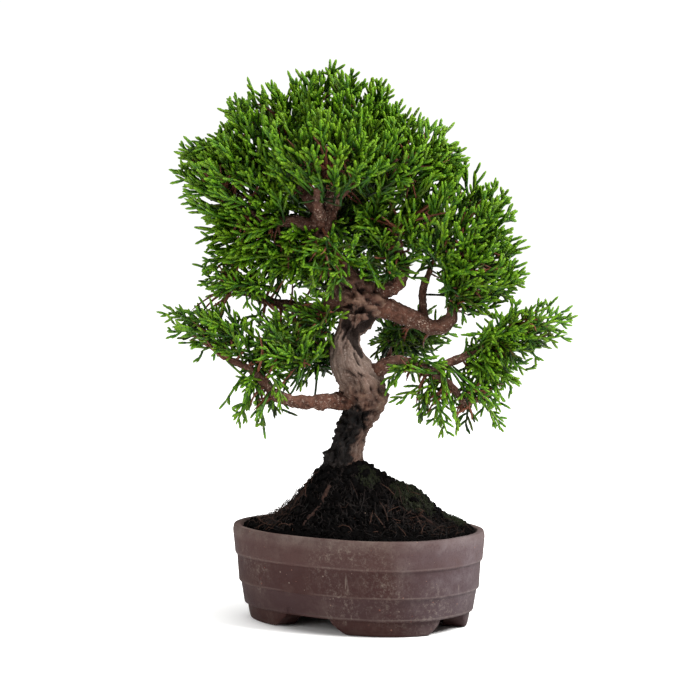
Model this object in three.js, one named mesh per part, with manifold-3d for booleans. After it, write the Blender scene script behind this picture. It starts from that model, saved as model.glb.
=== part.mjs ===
// A juniper bonsai: an S-curved trunk with boughs and clipped foliage pads, growing from a soil mound
// in an oval, unglazed stoneware pot with stepped walls and four corner feet.
//
// Millimetres, +Z up. The root frame is parallel to the pot: X along its length, Y across it, and z = 0 on
// the surface that its feet stand on. Its origin is under the middle of the whole plant, so the pot stands
// at POT_AT. The tree is written in its front frame, X to the right, Y away from the viewer and Z up, which
// stands at the pot's middle, is turned there by FRONT_TURN and is raised by TREE_LIFT.
import * as THREE from "three";
import { mergeVertices } from "three/addons/utils/BufferGeometryUtils.js";
import Module from "manifold-3d";

const wasm = await Module();
wasm.setup();

// ---- driving dimensions -------------------------------------------------------------------------

const FRONT_TURN = THREE.MathUtils.degToRad(37);
const POT_AT = [-7.1, -1.7, 0];
const TREE_LIFT = 1.5; // of the tree's front frame above the pot's
const GAP = 0.3; // kept between pieces that touch

const POT = {
  halfLength: 75,
  halfWidth: 56,
  height: 54,
  squareness: 2.36, // exponent of the plan's superellipse; 2 is an ellipse
  wall: 5.2,
  underside: 8.6,
  floorTop: 13.6,
  sides: 44,
};
const FOOT = { centre: THREE.MathUtils.degToRad(45), halfSpan: THREE.MathUtils.degToRad(35), depth: 13 };
const DRAIN = { radius: 6.5, offset: 30, sides: 20 };
const NET = { size: 21, thickness: 1, holes: 3, hole: 4.6, pitch: 6 };

const SOIL = { edge: 50.5, peak: 91, centreX: -9, leftSpread: 20, rightSpread: 30, depthSpread: 20 };
const SHOULDER = { x: 34, y: -3, height: 7, spread: 10 };

// ---- solids from three.js geometry --------------------------------------------------------------

/** A closed three.js geometry as a manifold-3d solid. */
function solidOf(geometry) {
  const bare = geometry.index ? geometry.toNonIndexed() : geometry.clone();
  for (const name of Object.keys(bare.attributes)) if (name !== "position") bare.deleteAttribute(name);
  const merged = mergeVertices(bare, 1e-3);
  return new wasm.Manifold(
    new wasm.Mesh({
      numProp: 3,
      vertProperties: merged.attributes.position.array,
      triVerts: new Uint32Array(merged.index.array),
    }),
  );
}

/** The largest body of a solid, without the crumbs that a cut can leave. */
function largest(solid) {
  return solid.decompose().reduce((best, body) => (body.volume() > best.volume() ? body : best));
}

/** A named mesh that shows a solid. */
function meshOf(name, solid, material) {
  const made = largest(solid).getMesh();
  const geometry = new THREE.BufferGeometry()
    .setAttribute("position", new THREE.BufferAttribute(made.vertProperties, 3))
    .setIndex(new THREE.BufferAttribute(made.triVerts, 1));
  geometry.computeVertexNormals();
  const mesh = new THREE.Mesh(geometry, material);
  mesh.name = name;
  return mesh;
}

/** Moves every vertex of a geometry by a function that changes the vector it is given. */
function reshape(geometry, change) {
  const place = geometry.attributes.position;
  const point = new THREE.Vector3();
  for (let i = 0; i < place.count; i++) {
    change(point.fromBufferAttribute(place, i));
    place.setXYZ(i, point.x, point.y, point.z);
  }
  return geometry;
}

/** Turns a Y-up three.js geometry so that its axis is Z. */
const upright = (geometry) => geometry.rotateX(Math.PI / 2);

/** A round bar that follows [x, y, z, radius] stations, with `extra` added to its radius all along. */
function bar(stations, sides, segments, extra = 0) {
  const line = new THREE.CatmullRomCurve3(stations.map(([x, y, z]) => new THREE.Vector3(x, y, z)));
  const frames = line.computeFrenetFrames(segments, false);
  const radiusAt = (u) => {
    const at = line.getUtoTmapping(u) * (stations.length - 1);
    const low = Math.min(Math.floor(at), stations.length - 2);
    return THREE.MathUtils.lerp(stations[low][3], stations[low + 1][3], at - low) + extra;
  };
  const shape = new THREE.CylinderGeometry(1, 1, 1, sides, segments);
  return solidOf(
    reshape(shape, (v) => {
      const u = THREE.MathUtils.clamp(v.y + 0.5, 0, 1);
      const ring = Math.round(u * segments);
      const [across, down] = [v.x * radiusAt(u), -v.z * radiusAt(u)];
      line.getPointAt(u, v);
      v.addScaledVector(frames.normals[ring], across).addScaledVector(frames.binormals[ring], down);
    }),
  );
}

// ---- pot ----------------------------------------------------------------------------------------

/** Half of the plan's length where its half width is r: the wall is equally thick all round. */
function halfLengthAt(r) {
  return r + (POT.halfLength - POT.halfWidth) * Math.min(1, (2 * r) / POT.halfWidth);
}

/** Puts v on the pot's plan at the half width r and the given angle. */
function toPlan(v, r, angle) {
  const power = 2 / POT.squareness;
  const [c, s] = [Math.cos(angle), Math.sin(angle)];
  v.x = halfLengthAt(r) * Math.sign(c) * Math.abs(c) ** power;
  v.y = r * Math.sign(s) * Math.abs(s) ** power;
}

/** A round profile of [half width, height] points spun about Z, then stretched to the pot's plan. */
function spun(profile, sides) {
  const points = profile.map(([r, z]) => new THREE.Vector2(r, z));
  const round = upright(new THREE.LatheGeometry(points, sides));
  return solidOf(
    reshape(round, (v) => {
      const r = Math.hypot(v.x, v.y);
      if (r < 1e-6) v.set(0, 0, v.z);
      else toPlan(v, r, Math.atan2(v.y, v.x));
    }),
  );
}

/** The fired shell: three bands that each step in below the last, a soft lip, and the floor. */
function potShell() {
  const w = POT.halfWidth;
  const h = POT.height;
  const outside = [
    [0, POT.underside],
    [w - 9.4, POT.underside],
    [w - 7.2, 8.8],
    [w - 6.2, 9.4],
    [w - 4.1, 21.2], // top of the lower band
    [w - 3.1, 21.8],
    [w - 2.2, 37],
    [w - 1.3, 37.6], // top of the middle band
    [w, h - 3.2],
    [w - 0.2, h - 1.2],
    [w - 1.4, h],
  ];
  const inside = [
    [w - POT.wall + 1.4, h],
    [w - POT.wall, h - 1.5],
    [w - POT.wall - 5.2, POT.floorTop + 6],
    [w - POT.wall - 9, POT.floorTop],
    [0, POT.floorTop],
  ];
  return spun([...outside, ...inside], POT.sides);
}

/** One corner foot: a bracket along the plan's corner whose ends curve in towards the ground. */
function foot(turn, mirrored) {
  const block = new THREE.BoxGeometry(1, 1, 1, 8, 1, 4);
  const shape = solidOf(
    reshape(block, (v) => {
      const up = v.z + 0.5;
      const span = FOOT.halfSpan * (0.76 + 0.24 * Math.sin((up * Math.PI) / 2));
      const angle = FOOT.centre - 2 * v.x * span;
      const inset = 8.2 + 1.6 * (1 - up) ** 2 + (0.5 - v.y) * FOOT.depth;
      v.z = up * (POT.underside + 0.6);
      toPlan(v, POT.halfWidth - inset, angle);
    }),
  );
  const inPlace = mirrored ? shape.mirror([1, 0, 0]) : shape;
  return inPlace.rotate([0, 0, turn]);
}

/** A drain hole's cutter, through the floor. */
function drainHole(x) {
  const cutter = upright(new THREE.CylinderGeometry(DRAIN.radius, DRAIN.radius, 20, DRAIN.sides));
  return solidOf(cutter.translate(x, 0, POT.underside));
}

function pot() {
  const feet = [foot(0, false), foot(0, true), foot(180, false), foot(180, true)];
  const whole = feet.reduce((body, leg) => body.add(leg), potShell());
  return whole.subtract(drainHole(DRAIN.offset)).subtract(drainHole(-DRAIN.offset));
}

/** A box solid of the given size with its centre at x, y and its underside at z. */
function slab(sizeX, sizeY, height, x, y, z) {
  return solidOf(new THREE.BoxGeometry(sizeX, sizeY, height).translate(x, y, z + height / 2));
}

/** The plastic net that lies over a drain hole. */
function drainNet(x) {
  const first = (-NET.pitch * (NET.holes - 1)) / 2;
  let net = slab(NET.size, NET.size, NET.thickness, x, 0, POT.floorTop + GAP);
  for (let i = 0; i < NET.holes; i++)
    for (let j = 0; j < NET.holes; j++) {
      const [hx, hy] = [x + first + i * NET.pitch, first + j * NET.pitch];
      net = net.subtract(slab(NET.hole, NET.hole, 3, hx, hy, POT.floorTop - 1));
    }
  return net;
}

// ---- soil, moss and surface roots ---------------------------------------------------------------

/** Height of the soil at a place given in the tree's front frame. */
function groundAt(x, y) {
  const dx = x - SOIL.centreX;
  const spread = dx < 0 ? SOIL.leftSpread : SOIL.rightSpread;
  const mound = (SOIL.peak - SOIL.edge) * Math.exp(-0.5 * ((dx / spread) ** 2 + (y / SOIL.depthSpread) ** 2));
  const away = Math.hypot(x - SHOULDER.x, y - SHOULDER.y) / SHOULDER.spread;
  return SOIL.edge + mound + SHOULDER.height * Math.exp(-0.5 * away ** 2);
}

/** The same height at a place given in the pot's frame. */
function groundInPot(x, y) {
  const [c, s] = [Math.cos(FRONT_TURN), Math.sin(FRONT_TURN)];
  return groundAt(x * c + y * s, y * c - x * s) + TREE_LIFT;
}

/** The soil body: it fills the pot to just under the lip and rises to the mound. */
function soilBody() {
  const [around, up] = [32, 15];
  const edge = POT.halfWidth - POT.wall - 0.9;
  const wall = [
    [edge - 4.9, POT.floorTop + 6.2],
    [edge - 8.8, POT.floorTop + GAP],
  ];
  const ball = upright(new THREE.SphereGeometry(1, around, up));
  return solidOf(
    reshape(ball, (v) => {
      const ring = Math.round((Math.acos(THREE.MathUtils.clamp(v.z, -1, 1)) / Math.PI) * up);
      const angle = Math.atan2(v.y, v.x);
      const top = up - 5; // rings from the peak down to the soil's edge
      const r = ring <= top ? (edge * ring) / top : (wall[Math.min(ring - top, 2) - 1][0] * (up - ring)) / 4;
      if (ring === 0 || ring === up) v.set(0, 0, 0);
      else toPlan(v, ring === top + 1 ? wall[0][0] : Math.min(r * (ring === top + 2 ? 4 / 3 : 1), edge), angle);
      if (ring <= top) v.z = groundInPot(v.x, v.y);
      else v.z = wall[Math.min(ring - top, 2) - 1][1];
    }),
  );
}

/** A pillow of moss on the ground, at a place in the tree's front frame. */
function mossPillow({ x, y, long, wide, thick }, ground) {
  const ball = upright(new THREE.SphereGeometry(1, 14, 8));
  const pillow = solidOf(
    reshape(ball, (v) => {
      const height = v.z > 0 ? v.z * thick : v.z * 3;
      const ragged = 1 + 0.12 * Math.sin(5 * Math.atan2(v.y, v.x) + x);
      v.x = x + v.x * long * ragged;
      v.y = y + v.y * wide * ragged;
      v.z = groundAt(v.x, v.y) + height;
    }),
  );
  return pillow.subtract(ground);
}

const MOSS = {
  moss_at_trunk: { x: 5, y: -11, long: 8, wide: 6, thick: 2.2 },
  moss_on_slope: { x: 31, y: -11, long: 13, wide: 9, thick: 2.4 },
  moss_at_right_rim: { x: 55, y: -6, long: 7, wide: 9, thick: 2.2 },
  moss_behind: { x: 8, y: 23, long: 15, wide: 9, thick: 2.4 },
};

const SURFACE_ROOTS = {
  surface_root_left: [[-29, -5], [-38, -9], [-46, -8], [-53, -10]],
  surface_root_front: [[-16, -17], [-22, -25], [-27, -28], [-31, -33]],
  surface_root_right: [[34, -20], [42, -24], [47, -30], [55, -32]],
};

/** A root that lies half sunk in the ground, along places given in the tree's front frame. */
function surfaceRoot(route, ground) {
  const stations = route.map(([x, y], i) => [x, y, groundAt(x, y) + 0.7, 1.5 - 0.25 * i]);
  return bar(stations, 6, 8).subtract(ground);
}

// ---- wood ---------------------------------------------------------------------------------------

// Stations of [x, y, z, radius] in the tree's front frame, from the root end to the tip.
const TRUNK = [
  [-13, 0, 48, 15],
  [-12, 0, 68, 13],
  [-9, 0, 85, 10.8],
  [-5.6, 0, 98.5, 9],
  [-0.5, 0, 112, 8.8],
  [4, 1, 122, 10.4],
  [3.5, 1, 131, 12.4],
  [-1.3, 0, 139.5, 11.4],
  [-5.6, -2, 147.5, 9.9],
  [-6.8, -3, 156, 8.4],
  [-4.2, -2, 164.5, 6.9],
  [0.6, 0, 171.5, 9.2],
  [2.4, 2, 180, 11.6],
  [-3, 3, 188, 9],
  [-10.6, 3, 197.5, 6.6],
  [-17.2, 2, 209, 6.2],
  [-21.2, 1, 220.5, 7],
  [-18.2, 1, 231.5, 6.2],
  [-12.5, 3, 241, 4.6],
  [-7.5, 4, 250, 3.6],
  [-4, 6, 263, 2.6],
];

const BOUGHS = {
  bough_low_left: [
    [-2, 0, 124, 5.2], [-17, -6, 124.5, 4], [-31.5, -12, 124, 3.5], [-43, -14, 126.5, 3.1],
    [-49, -13, 131, 2.8], [-57, -10, 140, 2.3], [-65, -8, 145, 1.9], [-75, -6, 148.5, 1.5],
  ],
  bough_low_right: [
    [6, 1, 137, 5], [16.5, -4, 145.5, 3.8], [26, -8, 146.5, 3.3], [35, -10, 144, 3], [42.5, -10, 141.5, 2.7],
    [52, -8, 146.5, 2.3], [62.5, -6, 150.5, 2], [69.5, -4, 152.5, 1.8], [77, -2, 160.5, 1.6], [90, 0, 166, 1.3],
  ],
  bough_low_right_fork: [
    [42.5, -11, 140, 2.2], [50.5, -12, 135.5, 1.9], [56, -14, 129.5, 1.6], [62, -14, 122, 1.3],
  ],
  bough_mid_right: [
    [6, 2, 181, 6.6], [22.5, 0, 174.5, 5.2], [33, 0, 170, 4.6], [39.5, 0, 166.5, 4.2], [47, 0, 166.5, 3.8],
    [52.5, 2, 171, 3.2], [54.5, 4, 181, 2.8], [55.5, 6, 193.5, 2.2], [59.5, 8, 209.5, 1.7],
  ],
  bough_mid_right_fork: [
    [38, 2, 169, 2.8], [37, 7, 177, 2.3], [37.5, 10, 187, 1.9], [42, 13, 200, 1.5],
  ],
  bough_upper_right: [
    [6, 4, 185, 5], [19.5, 2, 188.5, 4.2], [24.5, 0, 194, 3.4], [25.5, 0, 203, 2.8], [22.5, -2, 213, 2.2],
    [25, -2, 224, 1.6],
  ],
  bough_mid_left: [
    [-4, 3, 183, 6.4], [-19, 8, 175.5, 4.6], [-28.5, 12, 175.5, 3.6], [-40, 12, 177.5, 2.8],
    [-51, 8, 180.5, 2.3], [-61, 4, 184.5, 1.8], [-71, 0, 188, 1.4],
  ],
  bough_mid_back: [
    [-2, 4, 186, 5], [-5, 20, 190, 4], [-9, 34, 193, 3.2], [-12, 46, 198, 2.4], [-10, 54, 205, 1.7],
  ],
  bough_low_back_right: [
    [4, 3, 134, 4.6], [13, 20, 141, 3.6], [21, 32, 146, 2.8], [29, 42, 151, 2.1], [38, 47, 158, 1.5],
  ],
  bough_low_back_left: [
    [-8, 0, 152, 4.2], [-17, 14, 150, 3.2], [-27, 26, 149, 2.5], [-36, 34, 152, 1.9], [-46, 38, 157, 1.4],
  ],
  bough_crown_left: [
    [-20, 1, 222, 5], [-30, -4, 224.5, 3.7], [-37, -8, 226.5, 3], [-49.5, -10, 226, 2.4], [-63.5, -10, 232.5, 1.9],
    [-75, -8, 241, 1.4],
  ],
  bough_crown_top: [
    [-18, 1, 229, 4.4], [-26, 2, 236, 3.5], [-31, 4, 244, 2.9], [-35.5, 6, 258, 2.3], [-41.5, 8, 275, 1.6],
  ],
  bough_crown_right: [
    [-15, 1, 235, 4.6], [-10, -4, 242.5, 3.8], [-3, -7, 248.5, 3.2], [8, -9, 254.5, 2.6], [19, -8, 258, 2.1],
    [32, -8, 260.5, 1.6],
  ],
  bough_crown_back: [
    [-19, 2, 214, 4.6], [-17, 17, 221, 3.6], [-12, 30, 229, 2.8], [-6, 42, 239, 2.1], [-2, 48, 251, 1.5],
  ],
  bough_crown_front: [
    [-19, 0, 226, 3.6], [-22, -13, 233, 2.8], [-22, -23, 243, 2.1], [-17, -29, 256, 1.5],
  ],
};

// Foliage pads: centre and radii along X, Y and Z in the tree's front frame.
const PADS = {
  pad_crown_top: { at: [-12, 4, 287], size: [36, 33, 27.5] },
  pad_crown_left_top: { at: [-52, 4, 277], size: [29, 27, 25] },
  pad_crown_left: { at: [-70, -6, 250], size: [32, 29, 25] },
  pad_crown_left_low: { at: [-59, -3, 221], size: [30, 25, 19] },
  pad_crown_right: { at: [27, -2, 266], size: [28, 30, 24] },
  pad_crown_front: { at: [-18, -32, 268], size: [38, 21, 20] },
  pad_crown_back: { at: [-8, 44, 258], size: [44, 23, 32] },
  pad_inner_left: { at: [-38, 2, 201], size: [22, 20, 16] },
  pad_right_upper: { at: [57, 4, 228], size: [32, 31, 30] },
  pad_right_outer: { at: [73, 4, 200], size: [23, 27, 22] },
  pad_right_inner: { at: [18, 4, 226], size: [21, 22, 20] },
  pad_low_right_tip: { at: [100, -2, 167], size: [23, 20, 15] },
  pad_low_right: { at: [79, -4, 150], size: [21, 20, 20] },
  pad_low_right_hanging: { at: [59, -14, 118], size: [25, 15, 14] },
  pad_mid_left: { at: [-73, 0, 191], size: [21, 16, 10] },
  pad_low_left_tip: { at: [-88, -4, 167], size: [23, 19, 15] },
  pad_low_left: { at: [-46, -8, 156], size: [27, 20, 21] },
  pad_low_left_hanging: { at: [-57, -13, 122], size: [20, 15, 16] },
  pad_back_mid: { at: [-8, 56, 203], size: [38, 19, 24] },
  pad_back_low_right: { at: [34, 44, 160], size: [25, 18, 17] },
  pad_back_low_left: { at: [-38, 38, 158], size: [23, 17, 16] },
};
const PAD_DETAIL = 2;

/** A lumpy ellipsoid for one foliage pad, with `extra` added to its radii. */
function padSolid({ at, size }, extra = 0) {
  const ball = new THREE.IcosahedronGeometry(1, PAD_DETAIL);
  return solidOf(
    reshape(ball, (v) => {
      const lump = 1 + 0.06 * Math.sin(4 * v.x + at[0]) * Math.sin(4 * v.y + at[1]) + 0.04 * Math.sin(6 * v.z + at[2]);
      v.set(...size.map((radius, axis) => at[axis] + v.getComponent(axis) * (radius * lump + extra)));
    }),
  );
}

// ---- materials ----------------------------------------------------------------------------------

const matte = (color, roughness) => new THREE.MeshStandardMaterial({ color, roughness, metalness: 0 });
const STONEWARE = matte(0x5c4643, 0.8);
const EARTH = matte(0x1c1512, 0.95);
const MOSS_GREEN = matte(0x2c3316, 0.95);
const ROOT_BROWN = matte(0x5a3a28, 0.85);
const BARK = matte(0x6a5348, 0.85);
const FOLIAGE = matte(0x3c6d1c, 0.6);
const BLACK_PLASTIC = matte(0x202020, 0.5);

// ---- assembly -----------------------------------------------------------------------------------

const bonsai = new THREE.Group();
const potted = new THREE.Group();
const tree = new THREE.Group();
potted.position.set(...POT_AT);
tree.rotation.z = FRONT_TURN;
tree.position.z = TREE_LIFT;
potted.add(tree);
bonsai.add(potted);

const turned = (solid) => solid.rotate([0, 0, THREE.MathUtils.radToDeg(FRONT_TURN)]).translate([0, 0, TREE_LIFT]);
const unturned = (solid) => solid.translate([0, 0, -TREE_LIFT]).rotate([0, 0, -THREE.MathUtils.radToDeg(FRONT_TURN)]);

const TRUNK_SIDES = 10;
const TRUNK_SEGMENTS = 30;
const BOUGH_SIDES = 6;
const trunk = bar(TRUNK, TRUNK_SIDES, TRUNK_SEGMENTS);
const trunkSpace = bar(TRUNK, TRUNK_SIDES, TRUNK_SEGMENTS, GAP).add(trunk);

const netSpace = (x) => slab(NET.size + 1, NET.size + 1, NET.thickness + 2 * GAP, x, 0, POT.floorTop);
const soil = soilBody()
  .subtract(turned(trunkSpace))
  .subtract(netSpace(DRAIN.offset))
  .subtract(netSpace(-DRAIN.offset));
potted.add(meshOf("pot", pot(), STONEWARE));
potted.add(meshOf("drain_net_left", drainNet(-DRAIN.offset), BLACK_PLASTIC));
potted.add(meshOf("drain_net_right", drainNet(DRAIN.offset), BLACK_PLASTIC));
potted.add(meshOf("soil", soil, EARTH));

const groundSpace = unturned(soilBody()).translate([0, 0, GAP]).add(trunkSpace);
for (const [name, patch] of Object.entries(MOSS)) tree.add(meshOf(name, mossPillow(patch, groundSpace), MOSS_GREEN));
for (const [name, route] of Object.entries(SURFACE_ROOTS))
  tree.add(meshOf(name, surfaceRoot(route, groundSpace), ROOT_BROWN));

tree.add(meshOf("trunk", trunk, BARK));
let woodSpace = trunkSpace;
for (const [name, stations] of Object.entries(BOUGHS)) {
  const segments = Math.round(1.5 * stations.length);
  tree.add(meshOf(name, bar(stations, BOUGH_SIDES, segments).subtract(woodSpace), BARK));
  woodSpace = woodSpace.add(bar(stations, BOUGH_SIDES, segments, GAP));
}

let takenSpace = woodSpace;
for (const [name, pad] of Object.entries(PADS)) {
  tree.add(meshOf(name, padSolid(pad).subtract(takenSpace), FOLIAGE));
  takenSpace = takenSpace.add(padSolid(pad, GAP));
}

export default bonsai;
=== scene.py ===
"""The looks of a juniper bonsai in an oval, unglazed stoneware pot.

Lengths in the tables below are millimetres. The tree is written in its front frame, X to the right, Y away
from the viewer and Z up, which stands at the pot's middle and is turned there by FRONT_TURN and raised by TREE_LIFT.
"""

import logging
import math
from dataclasses import dataclass, field
from enum import Enum

import bpy
import numpy as np
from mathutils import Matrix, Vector, noise

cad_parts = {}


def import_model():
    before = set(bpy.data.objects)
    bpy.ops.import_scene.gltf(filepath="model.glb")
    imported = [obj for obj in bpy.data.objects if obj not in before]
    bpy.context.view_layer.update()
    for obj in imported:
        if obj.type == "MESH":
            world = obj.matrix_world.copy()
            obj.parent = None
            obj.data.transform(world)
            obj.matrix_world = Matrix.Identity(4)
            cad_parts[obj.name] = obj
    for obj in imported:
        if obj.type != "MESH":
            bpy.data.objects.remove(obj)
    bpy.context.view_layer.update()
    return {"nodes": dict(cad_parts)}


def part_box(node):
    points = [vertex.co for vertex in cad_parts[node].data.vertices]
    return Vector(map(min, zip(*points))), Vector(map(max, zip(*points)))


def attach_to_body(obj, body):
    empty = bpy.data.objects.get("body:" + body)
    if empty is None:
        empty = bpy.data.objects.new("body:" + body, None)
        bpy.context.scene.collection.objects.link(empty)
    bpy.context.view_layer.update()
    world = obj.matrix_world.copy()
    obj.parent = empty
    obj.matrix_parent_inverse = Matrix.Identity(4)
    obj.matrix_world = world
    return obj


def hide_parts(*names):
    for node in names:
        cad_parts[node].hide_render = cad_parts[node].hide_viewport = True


LOG = logging.getLogger("bonsai")
MM = 0.001
FRONT_TURN = math.radians(37.0)
TREE_LIFT = 1.5  # of the tree's front frame above the pot's
Station = tuple[float, float, float, float]
Triple = tuple[float, float, float]
Colour = tuple[float, float, float]
Array = np.ndarray
Rng = np.random.Generator
Piece = bpy.types.Object
Material = bpy.types.Material
Socket = bpy.types.NodeSocket

# ---- the tree's build, as the CAD has it: [x, y, z, radius] stations of each limb -----------------

TRUNK: list[Station] = [
    (-13, 0, 48, 15), (-12, 0, 68, 13), (-9, 0, 85, 10.8), (-5.6, 0, 98.5, 9), (-0.5, 0, 112, 8.8),
    (4, 1, 122, 10.4), (3.5, 1, 131, 12.4), (-1.3, 0, 139.5, 11.4), (-5.6, -2, 147.5, 9.9), (-6.8, -3, 156, 8.4),
    (-4.2, -2, 164.5, 6.9), (0.6, 0, 171.5, 9.2), (2.4, 2, 180, 11.6), (-3, 3, 188, 9), (-10.6, 3, 197.5, 6.6),
    (-17.2, 2, 209, 6.2), (-21.2, 1, 220.5, 7), (-18.2, 1, 231.5, 6.2), (-12.5, 3, 241, 4.6), (-7.5, 4, 250, 3.6),
    (-4, 6, 263, 2.6),
]

BOUGHS: dict[str, list[Station]] = {
    "bough_low_left": [
        (-2, 0, 124, 5.2), (-17, -6, 124.5, 4), (-31.5, -12, 124, 3.5), (-43, -14, 126.5, 3.1),
        (-49, -13, 131, 2.8), (-57, -10, 140, 2.3), (-65, -8, 145, 1.9), (-75, -6, 148.5, 1.5),
    ],
    "bough_low_right": [
        (6, 1, 137, 5), (16.5, -4, 145.5, 3.8), (26, -8, 146.5, 3.3), (35, -10, 144, 3), (42.5, -10, 141.5, 2.7),
        (52, -8, 146.5, 2.3), (62.5, -6, 150.5, 2), (69.5, -4, 152.5, 1.8), (77, -2, 160.5, 1.6),
        (90, 0, 166, 1.3),
    ],
    "bough_low_right_fork": [
        (42.5, -11, 140, 2.2), (50.5, -12, 135.5, 1.9), (56, -14, 129.5, 1.6), (62, -14, 122, 1.3),
    ],
    "bough_mid_right": [
        (6, 2, 181, 6.6), (22.5, 0, 174.5, 5.2), (33, 0, 170, 4.6), (39.5, 0, 166.5, 4.2), (47, 0, 166.5, 3.8),
        (52.5, 2, 171, 3.2), (54.5, 4, 181, 2.8), (55.5, 6, 193.5, 2.2), (59.5, 8, 209.5, 1.7),
    ],
    "bough_mid_right_fork": [(38, 2, 169, 2.8), (37, 7, 177, 2.3), (37.5, 10, 187, 1.9), (42, 13, 200, 1.5)],
    "bough_upper_right": [
        (6, 4, 185, 5), (19.5, 2, 188.5, 4.2), (24.5, 0, 194, 3.4), (25.5, 0, 203, 2.8), (22.5, -2, 213, 2.2),
        (25, -2, 224, 1.6),
    ],
    "bough_mid_left": [
        (-4, 3, 183, 6.4), (-19, 8, 175.5, 4.6), (-28.5, 12, 175.5, 3.6), (-40, 12, 177.5, 2.8),
        (-51, 8, 180.5, 2.3), (-61, 4, 184.5, 1.8), (-71, 0, 188, 1.4),
    ],
    "bough_mid_back": [
        (-2, 4, 186, 5), (-5, 20, 190, 4), (-9, 34, 193, 3.2), (-12, 46, 198, 2.4), (-10, 54, 205, 1.7),
    ],
    "bough_low_back_right": [
        (4, 3, 134, 4.6), (13, 20, 141, 3.6), (21, 32, 146, 2.8), (29, 42, 151, 2.1), (38, 47, 158, 1.5),
    ],
    "bough_low_back_left": [
        (-8, 0, 152, 4.2), (-17, 14, 150, 3.2), (-27, 26, 149, 2.5), (-36, 34, 152, 1.9), (-46, 38, 157, 1.4),
    ],
    "bough_crown_left": [
        (-20, 1, 222, 5), (-30, -4, 224.5, 3.7), (-37, -8, 226.5, 3), (-49.5, -10, 226, 2.4),
        (-63.5, -10, 232.5, 1.9), (-75, -8, 241, 1.4),
    ],
    "bough_crown_top": [
        (-18, 1, 229, 4.4), (-26, 2, 236, 3.5), (-31, 4, 244, 2.9), (-35.5, 6, 258, 2.3), (-41.5, 8, 275, 1.6),
    ],
    "bough_crown_right": [
        (-15, 1, 235, 4.6), (-10, -4, 242.5, 3.8), (-3, -7, 248.5, 3.2), (8, -9, 254.5, 2.6),
        (19, -8, 258, 2.1), (32, -8, 260.5, 1.6),
    ],
    "bough_crown_back": [
        (-19, 2, 214, 4.6), (-17, 17, 221, 3.6), (-12, 30, 229, 2.8), (-6, 42, 239, 2.1), (-2, 48, 251, 1.5),
    ],
    "bough_crown_front": [(-19, 0, 226, 3.6), (-22, -13, 233, 2.8), (-22, -23, 243, 2.1), (-17, -29, 256, 1.5)],
}


TONE_CELLS = 16  # colour cells across the shoots' UV map
TWIG_TONES = 12  # cells from here on are bark, the ones before are leaf greens
FEWEST_HOLDS = 26  # places on the wood from which a pad's twigs leave
SIDE_FORWARD = 0.38  # how much a side shoot turns back along its main shoot
FORK_FORWARD = 0.45  # the same for the last forks
SIDE_GLOW = 0.12  # painted light: how much lighter side shoots are painted than main shoots
# painted light: the same for the last forks
FORK_GLOW = 0.22


class Habit(Enum):
    """How the shoots of a foliage pad grow."""

    CLIPPED = "clipped"
    OPEN = "open"
    HANGING = "hanging"


@dataclass(frozen=True)
class Traits:
    """What a habit does to a pad: its twigs, its main shoots and the shoots on their sides, in millimetres."""

    twigs: int
    twig_reach: tuple[float, float]
    radial: list[float]
    scatter: float
    spray_length: tuple[float, float]
    stretch: float
    pull: float
    thick: float
    sides: int
    first: float
    spread: tuple[float, float]
    side_length: tuple[float, float]
    ruffle: float
    fork_share: float
    fork_stretch: float
    fork_every: int


TRAITS: dict[Habit, Traits] = {
    Habit.CLIPPED: Traits(
        22, (0.45, 0.72), [0.62, 0.6, 0.4], 0.25, (15, 23), 1.0, 0.25, 1.04,
        5, 0.28, (22, 44), (8.0, 13.5), 0.55, 0.5, 1.0, 3,
    ),
    Habit.OPEN: Traits(
        13, (0.45, 0.72), [0.75, 0.75, 0.75], 0.26, (22, 36), 1.0, 0.75, 0.9,
        6, 0.26, (32, 54), (7.5, 13.5), 0.3, 0.4, 1.2, 1,
    ),
    Habit.HANGING: Traits(
        7, (0.2, 0.42), [0.55, 0.55, 0.55], 0.22, (22, 36), 1.25, 0.75, 0.9,
        6, 0.46, (34, 58), (7.5, 13.0), 0.3, 0.4, 1.2, 1,
    ),
}


@dataclass(frozen=True)
class PadPlan:
    """One foliage pad: its ellipsoid, how it grows, which way it leans, how many sprays it carries and its painted
    shade.
    """

    centre: Triple
    size: Triple
    habit: Habit
    sprays: int
    grow: Triple = (0.0, 0.0, 1.0)
    # painted shade: darkens the pad's leaf tones, and lightens them as painted light where it is negative
    shade: float = 0.0


# the last number of a plan, where given, is the pad's painted shade
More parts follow.
